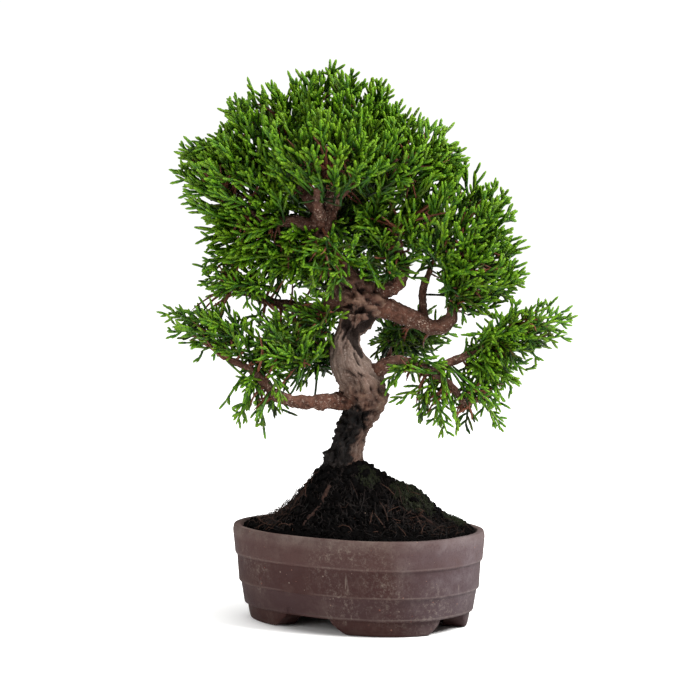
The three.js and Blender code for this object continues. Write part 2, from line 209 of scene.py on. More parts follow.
PADS: dict[str, PadPlan] = {
    "pad_crown_top": PadPlan((-12, 4, 285.5), (36, 33, 27), Habit.CLIPPED, 150, (0.0, -0.25, 1.0)),
    "pad_crown_left_top": PadPlan((-52, 4, 277), (29, 27, 25), Habit.CLIPPED, 108, (-0.3, -0.2, 0.95)),
    "pad_crown_left": PadPlan((-70, -6, 250), (32, 29, 25), Habit.CLIPPED, 122, (-0.5, -0.3, 0.5), -0.35),
    "pad_crown_left_low": PadPlan((-59, -3, 221), (30, 25, 19), Habit.CLIPPED, 92, (-0.6, -0.4, 0.1), -0.6),
    "pad_crown_right": PadPlan((27, -2, 266), (28, 30, 24), Habit.CLIPPED, 100, (0.35, -0.2, 0.85)),
    "pad_crown_front": PadPlan((-18, -32, 268), (38, 21, 20), Habit.CLIPPED, 96, (-0.1, -0.4, 0.8)),
    "pad_crown_back": PadPlan((-8, 44, 258), (44, 23, 32), Habit.CLIPPED, 130, (0.0, 0.4, 0.8)),
    "pad_inner_left": PadPlan((-38, 2, 201), (22, 20, 16), Habit.OPEN, 34, (-0.2, -0.3, -0.2), 0.7),
    "pad_right_upper": PadPlan((57, 4, 228), (32, 31, 30), Habit.CLIPPED, 135, (0.2, -0.25, 0.9)),
    "pad_right_outer": PadPlan((73, 4, 200), (23, 27, 22), Habit.CLIPPED, 72, (0.5, -0.2, 0.5), 0.1),
    "pad_right_inner": PadPlan((18, 4, 226), (21, 22, 20), Habit.OPEN, 40, (0.2, -0.3, 0.4), 0.7),
    "pad_low_right_tip": PadPlan((100, -2, 167), (23, 20, 15), Habit.OPEN, 30, (0.9, 0.0, 0.45)),
    "pad_low_right": PadPlan((79, -4, 150), (21, 20, 20), Habit.OPEN, 32, (0.25, 0.0, -0.35), -0.3),
    "pad_low_right_hanging": PadPlan((59, -14, 118), (25, 15, 14), Habit.HANGING, 13, (0.05, -0.1, -0.9), -0.2),
    "pad_mid_left": PadPlan((-73, 0, 191), (21, 16, 10), Habit.OPEN, 20, (-0.8, 0.0, 0.15), 0.2),
    "pad_low_left_tip": PadPlan((-88, -4, 167), (23, 19, 15), Habit.OPEN, 30, (-0.9, 0.0, 0.25), 0.1),
    "pad_low_left": PadPlan((-46, -8, 156), (27, 20, 21), Habit.OPEN, 34, (-0.4, -0.2, 0.3), 0.2),
    "pad_low_left_hanging": PadPlan((-57, -13, 122), (20, 15, 16), Habit.HANGING, 14, (-0.3, -0.1, -0.8), 0.3),
    "pad_back_mid": PadPlan((-8, 56, 203), (38, 19, 24), Habit.CLIPPED, 80, (0.0, 0.7, 0.5), 0.2),
    "pad_back_low_right": PadPlan((34, 44, 160), (25, 18, 17), Habit.OPEN, 34, (0.4, 0.6, 0.2), 0.4),
    "pad_back_low_left": PadPlan((-38, 38, 158), (23, 17, 16), Habit.OPEN, 34, (-0.4, 0.6, 0.2), 0.4),
}

# loose sprays between the pads; the last number is their painted shade, strongest behind the fork and the waist
STRAYS: dict[str, PadPlan] = {
    "sprays_left_of_crown": PadPlan((-85, 0, 263), (15, 14, 11), Habit.CLIPPED, 40, (-0.85, -0.2, 0.35)),
    "sprays_before_trunk": PadPlan((-16, -15, 203), (19, 9, 21), Habit.OPEN, 17, (-0.1, -0.4, -0.3), 0.5),
    "sprays_above_knot": PadPlan((22, -10, 205), (20, 9, 17), Habit.OPEN, 12, (0.2, -0.3, 0.3), 0.5),
    "sprays_below_crown_left": PadPlan((-68, -4, 203), (24, 13, 10), Habit.OPEN, 20, (-0.75, -0.3, -0.3), -0.1),
    "sprays_right_of_crown": PadPlan((47, -6, 262), (13, 12, 9), Habit.CLIPPED, 30, (0.8, -0.2, 0.3)),
    "sprays_below_low_right": PadPlan((74, -6, 134), (16, 11, 15), Habit.OPEN, 17, (0.25, -0.1, -0.6), -0.4),
    "sprays_over_low_left": PadPlan((-28, -10, 170), (20, 10, 16), Habit.OPEN, 12, (-0.5, -0.3, 0.1), 0.7),
    "sprays_on_low_right": PadPlan((34, -14, 140), (22, 8, 9), Habit.OPEN, 8, (0.1, -0.3, -0.6), 0.5),
    "sprays_at_mid_right": PadPlan((62, -6, 182), (18, 10, 12), Habit.OPEN, 9, (0.5, -0.2, -0.3), 0.5),
    "sprays_behind_fork": PadPlan((-12, 17, 232), (30, 9, 17), Habit.OPEN, 30, (0.0, 0.2, 0.6), 1.2),
    "sprays_beside_waist": PadPlan((-26, 8, 150), (17, 9, 19), Habit.OPEN, 12, (-0.3, 0.1, 0.3), 1.0),
    "sprays_hanging_inner": PadPlan((36, -14, 121), (15, 8, 11), Habit.HANGING, 5, (-0.35, -0.1, -0.75), 0.3),
    "sprays_behind_waist": PadPlan((28, 16, 158), (22, 9, 13), Habit.OPEN, 9, (0.3, 0.2, -0.2), 1.0),
}


# ---- working helpers ------------------------------------------------------------------------------


def deselect_all() -> None:
    """Leaves object mode with nothing selected."""
    if bpy.context.mode != "OBJECT":
        bpy.ops.object.mode_set(mode="OBJECT")
    bpy.ops.object.select_all(action="DESELECT")


def activate(obj: Piece) -> None:
    """Makes one object the only selected and active one.

    Args:
        obj: the object to work on.
    """
    deselect_all()
    obj.select_set(True)
    bpy.context.view_layer.objects.active = obj


def edit_all() -> None:
    """Enters edit mode on the active object with all of it selected."""
    bpy.ops.object.mode_set(mode="EDIT")
    bpy.ops.mesh.select_all(action="SELECT")


def face_outwards() -> None:
    """Turns every face outwards and leaves edit mode."""
    bpy.ops.mesh.select_all(action="SELECT")
    bpy.ops.mesh.normals_make_consistent(inside=False)
    bpy.ops.object.mode_set(mode="OBJECT")


def apply_modifier(obj: Piece, kind: str, **settings: object) -> None:
    """Adds a modifier with its settings and applies it.

    Args:
        obj: the mesh object.
        kind: the modifier's type, such as "BEVEL".
        settings: the modifier's own properties.
    """
    activate(obj)
    modifier = obj.modifiers.new(kind.lower(), kind)
    for key, value in settings.items():
        setattr(modifier, key, value)
    bpy.ops.object.modifier_apply(modifier=modifier.name)


def add_object(name: str, data: bpy.types.ID) -> Piece:
    """Puts data in the scene as a new object.

    Args:
        name: the object's name.
        data: its mesh, camera or light.

    Returns:
        The object.
    """
    made = bpy.data.objects.new(name, data)
    bpy.context.collection.objects.link(made)
    return made


def points_of(obj: Piece) -> Array:
    """The object's vertices as an (n, 3) array.

    Args:
        obj: a mesh object.

    Returns:
        The places, as its mesh has them.
    """
    flat = np.empty(len(obj.data.vertices) * 3)
    obj.data.vertices.foreach_get("co", flat)
    return flat.reshape(-1, 3)


def move_points(obj: Piece, points: Array) -> None:
    """Writes the object's vertices from an (n, 3) array."""
    obj.data.vertices.foreach_set("co", np.ascontiguousarray(points, dtype=np.float32).ravel())
    obj.data.update()


def unit(vectors: Array) -> Array:
    """The vectors along the last axis at length one."""
    return vectors / np.maximum(np.linalg.norm(vectors, axis=-1, keepdims=True), 1e-9)


def bell(values: Array, middle: float, spread: float) -> Array:
    """One at the middle, falling smoothly to nothing a few spreads away."""
    return np.exp(-0.5 * ((values - middle) / spread) ** 2)


def along_bend(start: Array, middle: Array, end: Array, t: Array | float) -> Array:
    """Places at share t of a bend that leaves its start towards the middle and reaches its end."""
    return (1 - t) ** 2 * start + 2 * t * (1 - t) * middle + t**2 * end


def fractal_field(points: Array, size: float, octaves: int = 3, seed: float = 0.0) -> Array:
    """Smooth noise of about -1 to 1 at each point.

    Args:
        points: places, in millimetres.
        size: the width of the largest lumps, in millimetres.
        octaves: how many finer layers are added.
        seed: moves the pattern.

    Returns:
        One value for each point.
    """
    shift = Vector((seed * 17.3, seed * 5.1, seed * 9.7))
    return np.array([noise.fractal(Vector(p) / size + shift, 0.8, 2.1, octaves) for p in points])


def turn_by(x: Array, y: Array, angle: float) -> tuple[Array, Array]:
    """Turns places on the ground about the origin, anticlockwise from above."""
    c, s = math.cos(angle), math.sin(angle)
    return x * c - y * s, x * s + y * c


@dataclass(frozen=True)
class Placement:
    """Where the pot stands in the row's frame, in metres."""

    x: float
    y: float

    @classmethod
    def from_frame(cls) -> "Placement":
        """Reads the pot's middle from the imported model.

        Returns:
            The placement.
        """
        low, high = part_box("pot")
        middle = (low + high) / 2
        return cls(middle.x, middle.y)

    def tree(self, points: Array) -> Array:
        """Takes points of the tree's front frame, in millimetres, to the row's frame, in metres."""
        x, y = turn_by(points[..., 0], points[..., 1], FRONT_TURN)
        return self.pot(np.stack([x, y, points[..., 2] + TREE_LIFT], axis=-1))

    def pot(self, points: Array) -> Array:
        """Takes points of the pot's own frame, in millimetres, to the row's frame, in metres."""
        return points * MM + np.array([self.x, self.y, 0.0])


def hand_over(obj: Piece, finish: Material, slot: str, *nodes: str) -> None:
    """Dresses a modelled piece, rides it on the plant's one body and reports it.

    Args:
        obj: the modelled piece.
        finish: its material.
        slot: a material slot's name; it is not used.
        nodes: the CAD nodes that it stands for.
    """
    obj.data.materials.clear()
    obj.data.materials.append(finish)
    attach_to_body(obj, "root")
    if nodes:
        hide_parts(*nodes)
    LOG.info("%s: %d faces", obj.name, len(obj.data.polygons))


# ---- limb lines -----------------------------------------------------------------------------------


def limb_line(stations: list[Station], count: int) -> tuple[Array, Array]:
    """Samples a smooth line through a limb's stations.

    Args:
        stations: x, y, z and radius from root end to tip.
        count: how many samples to take.

    Returns:
        The (count, 3) places and the (count,) radii, evenly spaced by length.
    """
    s = np.array(stations, float)
    padded = np.vstack([2 * s[0] - s[1], s, 2 * s[-1] - s[-2]])
    fine = []
    for i in range(len(s) - 1):
        p0, p1, p2, p3 = padded[i : i + 4]
        for t in np.linspace(0, 1, 24, endpoint=False):
            square, cube = 2 * p0 - 5 * p1 + 4 * p2 - p3, 3 * p1 - p0 - 3 * p2 + p3
            fine.append(0.5 * (2 * p1 + (p2 - p0) * t + square * t * t + cube * t**3))
    fine = np.array([*fine, s[-1]])
    along = np.concatenate([[0], np.cumsum(np.linalg.norm(np.diff(fine[:, :3], axis=0), axis=1))])
    even = np.linspace(0, along[-1], count)
    sampled = np.stack([np.interp(even, along, fine[:, k]) for k in range(4)], axis=1)
    return sampled[:, :3], sampled[:, 3]


def carried_frames(line: Array) -> tuple[Array, Array]:
    """Two cross directions for each point of a line, carried along it without twist.

    Args:
        line: (n, 3) places along the line.

    Returns:
        Two (n, 3) arrays of unit directions, square to the line and to each other.
    """
    tangent = unit(np.gradient(line, axis=0))
    side = unit(np.cross(tangent[0], [0.3, 1.0, 0.1]))
    sides = []
    for t in tangent:
        side = unit(side - t * (side @ t))
        sides.append(side)
    sides = np.array(sides)
    return sides, np.cross(tangent, sides)


# ---- shoots ---------------------------------------------------------------------------------------


@dataclass
class ShootModel:
    """One whipcord shoot, modelled once: a closed rod of unit length that swells at each ring of leaves."""

    sides: int = 5
    rings: tuple[tuple[float, float], ...] = (
        (0.13, 1.25), (0.15, 0.92), (0.18, 1.1), (0.17, 0.88), (0.16, 0.98), (0.14, 0.62),
    )
    tip_rise: float = 0.08
    points: Array = field(init=False)
    around: list[Array] = field(init=False)
    faces: list[list[int]] = field(init=False)

    def __post_init__(self) -> None:
        """Models the shoot and keeps its mesh as arrays."""
        deselect_all()
        bpy.ops.mesh.primitive_circle_add(vertices=self.sides, radius=0.8, fill_type="NGON")
        obj = bpy.context.object
        edit_all()
        for rise, swell in self.rings:
            bpy.ops.mesh.extrude_region_move(TRANSFORM_OT_translate={"value": (0, 0, rise)})
            bpy.ops.transform.resize(value=(swell, swell, 1))
        bpy.ops.mesh.extrude_region_move(TRANSFORM_OT_translate={"value": (0, 0, self.tip_rise)})
        bpy.ops.mesh.merge(type="CENTER")
        face_outwards()
        points = points_of(obj)
        points[:, 2] = np.clip(points[:, 2] / points[:, 2].max(), 0, 1)
        self.faces = [list(p.vertices) for p in obj.data.polygons]
        angle = np.arctan2(points[:, 1], points[:, 0]) / (2 * math.pi)
        on_axis = np.hypot(points[:, 0], points[:, 1]) < 1e-4
        self.around = []
        for face in self.faces:
            turn = angle[face]
            solid = ~on_axis[face]
            first = turn[solid][0]
            turn = first + (turn - first + 0.5) % 1.0 - 0.5
            turn[~solid] = turn[solid].mean()
            turn = turn - math.floor(turn[solid].mean())
            self.around.append(np.clip(turn, 0.0, 1.0) if len(face) < self.sides else np.full(len(face), 0.5))
        keel = 1 + 0.1 * np.sin(points[:, 2] * 21 + np.round(angle * self.sides) * 2.4)
        points[:, :2] *= keel[:, None]
        self.points = points
        bpy.data.objects.remove(obj)


@dataclass
class ShootBundle:
    """Many bent copies of the shoot, gathered into one mesh."""

    paths: list[Array] = field(default_factory=list)
    radii: list[Array] = field(default_factory=list)
    tones: list[Array] = field(default_factory=list)

    def add(self, paths: Array, start: Array, end: Array, tones: Array) -> None:
        """Adds shoots.

        Args:
            paths: (k, 3, 3) start, control and end points, in millimetres.
            start: (k,) radii at the start.
            end: (k,) radii at the end.
            tones: (k,) colour cells.
        """
        self.paths.append(paths)
        self.radii.append(np.stack([start, end], axis=1))
        self.tones.append(tones)

    def mesh(self, name: str, model: ShootModel, place: Placement, rng: Rng) -> Piece:
        """Sweeps the shoot along every path and makes one object of them.

        Args:
            name: the piece's name.
            model: the shoot that is copied.
            place: where the pot stands.
            rng: draws each copy's turn about its own length.

        Returns:
            The object, with its UV map.
        """
        paths, radii, tones = map(np.concatenate, (self.paths, self.radii, self.tones))
        count, size = len(paths), len(model.points)
        t = model.points[:, 2][None, :, None]
        p0, p1, p2 = (paths[:, i][:, None, :] for i in range(3))
        centre = along_bend(p0, p1, p2, t)
        tangent = unit((1 - t) * (p1 - p0) + t * (p2 - p1) + 1e-9)
        reference = unit(np.cross(p2 - p0, rng.normal(size=(count, 1, 3))))
        side = unit(reference - tangent * np.sum(reference * tangent, axis=-1, keepdims=True))
        other = np.cross(tangent, side)
        width = radii[:, :1] + (radii[:, 1:] - radii[:, :1]) * model.points[:, 2][None, :]
        across = model.points[:, 0][None] * width
        down = model.points[:, 1][None] * width
        points = place.tree(centre + side * across[..., None] + other * down[..., None]).reshape(-1, 3)

        sizes = np.array([len(f) for f in model.faces])
        corners = np.concatenate([np.array(f) for f in model.faces])
        mesh = bpy.data.meshes.new(name)
        mesh.vertices.add(len(points))
        mesh.vertices.foreach_set("co", points.astype(np.float32).ravel())
        loops = (corners[None] + (np.arange(count) * size)[:, None]).ravel()
        mesh.loops.add(len(loops))
        mesh.loops.foreach_set("vertex_index", loops.astype(np.int32))
        all_sizes = np.tile(sizes, count)
        mesh.polygons.add(len(all_sizes))
        starts = np.concatenate([[0], np.cumsum(all_sizes)[:-1]])
        mesh.polygons.foreach_set("loop_start", starts.astype(np.int32))
        mesh.polygons.foreach_set("use_smooth", np.ones(len(all_sizes), bool))
        around = np.concatenate(model.around)
        along = model.points[corners, 2]
        u = (tones[:, None] + 0.06 + 0.88 * around[None]) / TONE_CELLS
        v = np.broadcast_to(0.02 + 0.96 * along[None], u.shape)
        uv = mesh.uv_layers.new(name="OFBake")
        uv.data.foreach_set("uv", np.stack([u, v], axis=-1).astype(np.float32).ravel())
        mesh.update(calc_edges=True)
        mesh.validate()
        return add_object(name, mesh)


def side_branches(
    axis: Array, at: Array, angle: Array, length: Array, plane: Array, forward: float
) -> Array:
    """Paths of shoots that leave other shoots and curve towards their direction.

    Args:
        axis: (k, 3, 3) paths that they leave.
        at: (k,) where along the path each one leaves.
        angle: (k,) signed angle from the path's direction, in radians.
        length: (k,) lengths.
        plane: (k, 3) directions across the path in which they lean.
        forward: how much they turn back along the path, from 0 to 1.

    Returns:
        (k, 3, 3) paths.
    """
    t = at[:, None]
    start = along_bend(axis[:, 0], axis[:, 1], axis[:, 2], t)
    ahead = unit((1 - t) * (axis[:, 1] - axis[:, 0]) + t * (axis[:, 2] - axis[:, 1]))
    lean = unit(plane - ahead * np.sum(plane * ahead, axis=1, keepdims=True))
    leave = ahead * np.cos(angle)[:, None] + lean * np.sin(angle)[:, None]
    bent = unit(leave * (1 - forward) + ahead * forward)
    reach = length[:, None]
    middle = start + leave * reach * 0.5
    return np.stack([start, middle, middle + bent * reach * 0.5], axis=1)


@dataclass
class FoliagePad:
    """One clipped or open cluster of shoots and the twigs that carry it."""

    name: str
    plan: PadPlan
    model: ShootModel
    place: Placement
    wood: Array
    others: list[PadPlan]
    rng: Rng

    @property
    def traits(self) -> Traits:
        """What the pad's habit does."""
        return TRAITS[self.plan.habit]

    def shell_directions(self, count: int) -> Array:
        """Even directions over the sphere, slightly scattered.

        Args:
            count: how many directions.

        Returns:
            (count, 3) unit directions.
        """
        i = np.arange(count) + 0.5
        z = 1 - 2 * i / count
        turn = i * math.pi * (1 + math.sqrt(5))
        ring = np.sqrt(1 - z * z)
        even = np.stack([ring * np.cos(turn), ring * np.sin(turn), z], axis=1)
        return unit(even + self.rng.normal(scale=0.09, size=even.shape))

    def depth_in_others(self, points: Array) -> Array:
        """How far inside the nearest other pad each point lies: below 1 is inside."""
        levels = [np.linalg.norm((points - np.array(p.centre)) / np.array(p.size), axis=1) for p in self.others]
        return np.min(levels, axis=0) if levels else np.full(len(points), 9.0)

    def growth(self, normal: Array, tips: Array) -> Array:
        """The direction in which each spray grows.

        Args:
            normal: (k, 3) outward directions of the pad's shell.
            tips: (k, 3) places of the tips.

        Returns:
            (k, 3) unit directions.
        """
        plan = self.plan
        centre, size = np.array(plan.centre), np.array(plan.size)
        lean = np.array(plan.grow)
        radial = unit((tips - centre) / size + 0.35 * lean)
        scatter = self.rng.normal(size=normal.shape)
        return unit(radial * self.traits.radial + lean + scatter * self.traits.scatter)

    def twigs(self, bundle: ShootBundle) -> Array:
        """Adds the bare twigs between the bough and the shoots.

        Args:
            bundle: gathers the shoots and twigs.

        Returns:
            (n, 3) places on the twigs from which sprays can grow.
        """
        plan, rng = self.plan, self.rng
        centre, size = np.array(plan.centre), np.array(plan.size)
        level = np.linalg.norm((self.wood - centre) / size, axis=1)
        few = (level < 1).sum() < FEWEST_HOLDS
        near = self.wood[np.argsort(level)[:FEWEST_HOLDS]] if few else self.wood[level < 1]
        count = self.traits.twigs
        aim = centre + self.shell_directions(count) * size * rng.uniform(*self.traits.twig_reach, (count, 1))
        gap = np.linalg.norm(aim[:, None] - near[None], axis=2) + rng.uniform(0, 9, (count, len(near)))
        start = near[np.argmin(gap, axis=1)]
        chord = aim - start
        sag = rng.normal(scale=0.16, size=aim.shape) * np.linalg.norm(chord, axis=1, keepdims=True)
        paths = np.stack([start, start + chord * 0.5 + sag, aim], axis=1)
        thick, thin = rng.uniform(0.75, 1.15, count), rng.uniform(0.4, 0.6, count)
        bundle.add(paths, thick, thin, rng.integers(TWIG_TONES, TONE_CELLS, count))
        t = np.array([0.35, 0.55, 0.75, 0.95])[:, None, None]
        on_twigs = along_bend(paths[:, 0], paths[:, 1], paths[:, 2], t)
        return np.concatenate([on_twigs.reshape(-1, 3), near])

    def spray_axes(self, attach: Array) -> tuple[Array, Array, Array]:
        """Lays out the main shoot of every spray and the stem that carries it.

        Args:
            attach: places on the wood and twigs.

        Returns:
            (k, 3, 3) paths of the main shoots, the same of their stems, and the (k,) painted outer light from 0 to 1.
        """
        plan, rng = self.plan, self.rng
        centre, size = np.array(plan.centre), np.array(plan.size)
        normal = self.shell_directions(plan.sprays)
        lumps = 1 + 0.07 * fractal_field(normal * 30, 14, 2, centre[0])
        reach = rng.choice([1.0, 0.8, 0.6], plan.sprays, p=[0.6, 0.25, 0.15])
        tips = centre + normal * size * (lumps * reach * rng.uniform(0.9, 1.0, plan.sprays))[:, None]
        keep = self.depth_in_others(tips) > 0.7
        normal, tips, reach = normal[keep], tips[keep], reach[keep]
        ahead = self.growth(normal, tips)
        length = rng.uniform(*self.traits.spray_length, len(tips)) * self.traits.stretch
        base = tips - ahead * length[:, None]
        gap = np.linalg.norm(base[:, None] - attach[None], axis=2)
        anchor = attach[np.argmin(gap, axis=1)]
        base = base + (anchor - base) * self.traits.pull
        bow = unit(np.cross(ahead, rng.normal(size=ahead.shape))) * rng.normal(0, 1.1, (len(tips), 1))
        middle = tips - ahead * (0.5 * np.linalg.norm(tips - base, axis=1))[:, None] + bow
        axes = np.stack([base, middle, tips], axis=1)
        # painted light: sprays that reach further out and face up get lighter leaf tones
        light = np.clip(reach * 1.5 - 0.62 + 0.22 * normal[:, 2], 0, 1)
        stems = np.stack([anchor, (anchor + base) / 2 + rng.normal(0, 0.8, base.shape), base], axis=1)
        return axes, stems, light

    def tones_for(self, light: Array, boost: float) -> Array:
        """Leaf colour cells: four hues by four depths of painted shade.

        Args:
            light: (k,) share of painted outer light.
            boost: painted light added to it.

        Returns:
            (k,) cells from 0 to 11.
        """
        # painted shade: the light level, less the pad's painted shade, sets how shaded each shoot's green is
        level = light + boost + self.rng.normal(0, 0.16, len(light)) - 0.3 * self.plan.shade
        depth = np.clip(np.floor(level * 3), 0, 2).astype(int)
        return depth * 4 + self.rng.integers(0, 4, len(light))

    def build(self) -> Piece:
        """Models the pad.

        Returns:
            The finished piece, not yet dressed.
        """
        rng, traits = self.rng, self.traits
        bundle = ShootBundle()
        attach = self.twigs(bundle)
        axes, stems, light = self.spray_axes(attach)
        count, thick = len(axes), traits.thick
        woody = rng.random(count) < 0.45
        stem_tone = np.where(woody, rng.integers(TWIG_TONES, TONE_CELLS, count), rng.integers(0, 4, count))
        bundle.add(stems, np.full(count, 0.62), np.full(count, 0.6), stem_tone)
        bundle.add(axes, np.full(count, 0.74 * thick), np.full(count, thick), self.tones_for(light, 0.0))
        plane = unit(np.cross(axes[:, 2] - axes[:, 0], rng.normal(size=(count, 3))))
        for k in range(traits.sides):
            keep = rng.random(count) < 0.9
            at = traits.first + (0.9 - traits.first) * (k + rng.uniform(-0.3, 0.3, count)) / (traits.sides - 1)
            at = np.clip(at, 0.1, 0.93)
            sign = 1 if k % 2 else -1
            angle = np.radians(rng.uniform(*traits.spread, count)) * sign
            out = unit(plane + rng.normal(0, traits.ruffle, plane.shape))
            reach = rng.uniform(*traits.side_length, count) * (1.15 - 0.5 * at)
            paths = side_branches(axes, at, angle, reach, out, SIDE_FORWARD)[keep]
            radius = np.full(keep.sum(), thick * 0.96)
            tones = self.tones_for(light[keep], SIDE_GLOW)
            bundle.add(paths, radius * 0.85, radius, tones)
            if k % traits.fork_every:
                continue
            for turn in (-1, 1):
                few = rng.random(len(paths)) < traits.fork_share
                fork = side_branches(
                    paths[few],
                    rng.uniform(0.3, 0.6, few.sum()),
                    np.radians(rng.uniform(28, 46, few.sum())) * turn,
                    rng.uniform(3.6, 6.0, few.sum()) * traits.fork_stretch,
                    unit(out[keep][few] + rng.normal(0, 0.3, (few.sum(), 3))),
                    FORK_FORWARD,
                )
                bundle.add(fork, radius[few] * 0.85, radius[few] * 0.95, self.tones_for(light[keep][few], FORK_GLOW))
        return bundle.mesh(self.name.replace("pad_", "foliage_"), self.model, self.place, rng)


# ---- shader graphs --------------------------------------------------------------------------------


class Graph:
    """Adds and links the nodes of one node tree."""

    def __init__(self, tree: bpy.types.NodeTree) -> None:
        """Keeps the tree that is built."""
        self.tree = tree

    def node(self, kind: str, inputs: dict | None = None, **settings: object) -> bpy.types.Node:
        """Adds a node.

        Args:
            kind: the node's type name without "ShaderNode".
            inputs: values or output sockets for its inputs, by name or number.
            settings: the node's own properties.

        Returns:
            The node.
        """
        made = self.tree.nodes.new(f"ShaderNode{kind}")
        for key, value in settings.items():
            setattr(made, key, value)
        for key, value in (inputs or {}).items():
            if isinstance(value, Socket):
                self.tree.links.new(value, made.inputs[key])
            else:
                made.inputs[key].default_value = value
        return made

    def noise(self, vector: Socket, scale: float, detail: float = 4.0, rough: float = 0.6) -> Socket:
        """A noise texture's value."""
        inputs = {"Vector": vector, "Scale": scale, "Detail": detail, "Roughness": rough}
        return self.node("TexNoise", inputs).outputs["Fac"]

    def flecks(
        self, vector: Socket, scale: float, low: float, high: float, strength: float = 1.0
    ) -> Socket:
        """The shared fleck mask: noise that rises from nothing at the low level to its strength at the high one.

        Args:
            vector: the coordinates.
            scale: the noise's scale.
            low: the noise level where the mask starts.
            high: the level where it is full.
            strength: its value there.

        Returns:
            The mask.
        """
        placed = self.node("Group", None, node_tree=fleck_group())
        self.tree.links.new(vector, placed.inputs["Vector"])
        for name, value in (("Scale", scale), ("Low", low), ("High", high), ("Strength", strength)):
            placed.inputs[name].default_value = value
        return placed.outputs["Mask"]

    def ramp(self, value: Socket, stops: list[tuple[float, tuple | float]]) -> Socket:
        """A colour ramp through (place, colour or grey) stops.

        Args:
            value: what the ramp reads.
            stops: places from 0 to 1 with a colour or a grey each.

        Returns:
            The ramp's colour.
        """
        made = self.node("ValToRGB", {"Fac": value})
        ramp = made.color_ramp
        while len(ramp.elements) < len(stops):
            ramp.elements.new(0.5)
        for element, (at, colour) in zip(ramp.elements, stops):
            element.position = at
            grey = isinstance(colour, (int, float))
            element.color = (colour, colour, colour, 1) if grey else (*colour, 1)
        return made.outputs["Color"]

    def math(self, operation: str, a: object, b: object = 0.0) -> Socket:
        """A math node's result."""
        return self.node("Math", {0: a, 1: b}, operation=operation).outputs[0]

    def times(self, a: object, b: object) -> Socket:
        """The product of two values."""
        return self.math("MULTIPLY", a, b)

    def plus(self, a: object, b: object) -> Socket:
        """The sum of two values."""
        return self.math("ADD", a, b)

    def minus(self, a: object, b: object) -> Socket:
        """The first value less the second."""
        return self.math("SUBTRACT", a, b)

    def place(self) -> Socket:
        """Object coordinates."""
        return self.node("TexCoord").outputs["Object"]

    def uv(self, name: str) -> Socket:
        """A UV map's coordinates."""
        return self.node("UVMap", None, uv_map=name).outputs["UV"]

    def mask(self, name: str) -> Socket:
        """A point attribute's value."""
        return self.node("Attribute", None, attribute_name=name).outputs["Fac"]

    def feed(self, shader: bpy.types.Node, name: str, value: Socket) -> None:
        """Links a value to one of the shader's inputs."""
        self.tree.links.new(value, shader.inputs[name])

    def mix(self, share: object, a: object, b: object) -> Socket:
        """Mixes two colours.

        Args:
            share: how much of the second colour.
            a: the first colour.
            b: the second colour.

        Returns:
            The mixed colour.
        """
        made = self.node("Mix", None, data_type="RGBA")
        for key, value in ((0, share), (6, a), (7, b)):
            if isinstance(value, Socket):
                self.tree.links.new(value, made.inputs[key])
            else:
                made.inputs[key].default_value = value if key == 0 else (*value, 1)
        return made.outputs[2]

    def bump(self, height: Socket, strength: float, distance: float) -> Socket:
        """A bump node's normal."""
        inputs = {"Height": height, "Strength": strength, "Distance": distance}
        return self.node("Bump", inputs).outputs["Normal"]


def fleck_group() -> bpy.types.NodeTree:
    """The node group behind the flecks, grit, dust and crumbs of every mineral and bark finish.

    Returns:
        The group, which is built the first time that it is asked for.
    """
    if "flecks" in bpy.data.node_groups:
        return bpy.data.node_groups["flecks"]
    group = bpy.data.node_groups.new("flecks", "ShaderNodeTree")
    group.interface.new_socket("Vector", in_out="INPUT", socket_type="NodeSocketVector")
    for name in ("Scale", "Low", "High", "Strength"):
        group.interface.new_socket(name, in_out="INPUT", socket_type="NodeSocketFloat")
    group.interface.new_socket("Mask", in_out="OUTPUT", socket_type="NodeSocketFloat")
    given = group.nodes.new("NodeGroupInput").outputs
    g = Graph(group)
    noise = g.node("TexNoise", {"Vector": given["Vector"], "Scale": given["Scale"], "Detail": 5.0, "Roughness": 0.7})
    cut = g.node("MapRange", {0: noise.outputs["Fac"], 1: given["Low"], 2: given["High"], 4: given["Strength"]})
    group.links.new(cut.outputs[0], group.nodes.new("NodeGroupOutput").inputs["Mask"])
    return group


def srgb(red: int, green: int, blue: int) -> Colour:
    """An 8-bit display colour as linear values.

    Args:
        red: 0 to 255.
        green: 0 to 255.
        blue: 0 to 255.

    Returns:
        The linear red, green and blue.
    """

    def linear(c: int) -> float:
        """One channel."""
        x = c / 255
        return x / 12.92 if x <= 0.04045 else ((x + 0.055) / 1.055) ** 2.4

    return linear(red), linear(green), linear(blue)


def new_material(name: str) -> tuple[Material, Graph, bpy.types.Node]:
    """An empty node material.

    Args:
        name: the material's name.

    Returns:
        The material, its graph and its Principled shader.
    """
    material = bpy.data.materials.new(name)
    material.use_nodes = True
    material.node_tree.nodes.clear()
    graph = Graph(material.node_tree)
    shader = graph.node("BsdfPrincipled")
    graph.node("OutputMaterial", {"Surface": shader.outputs[0]})
    return material, graph, shader


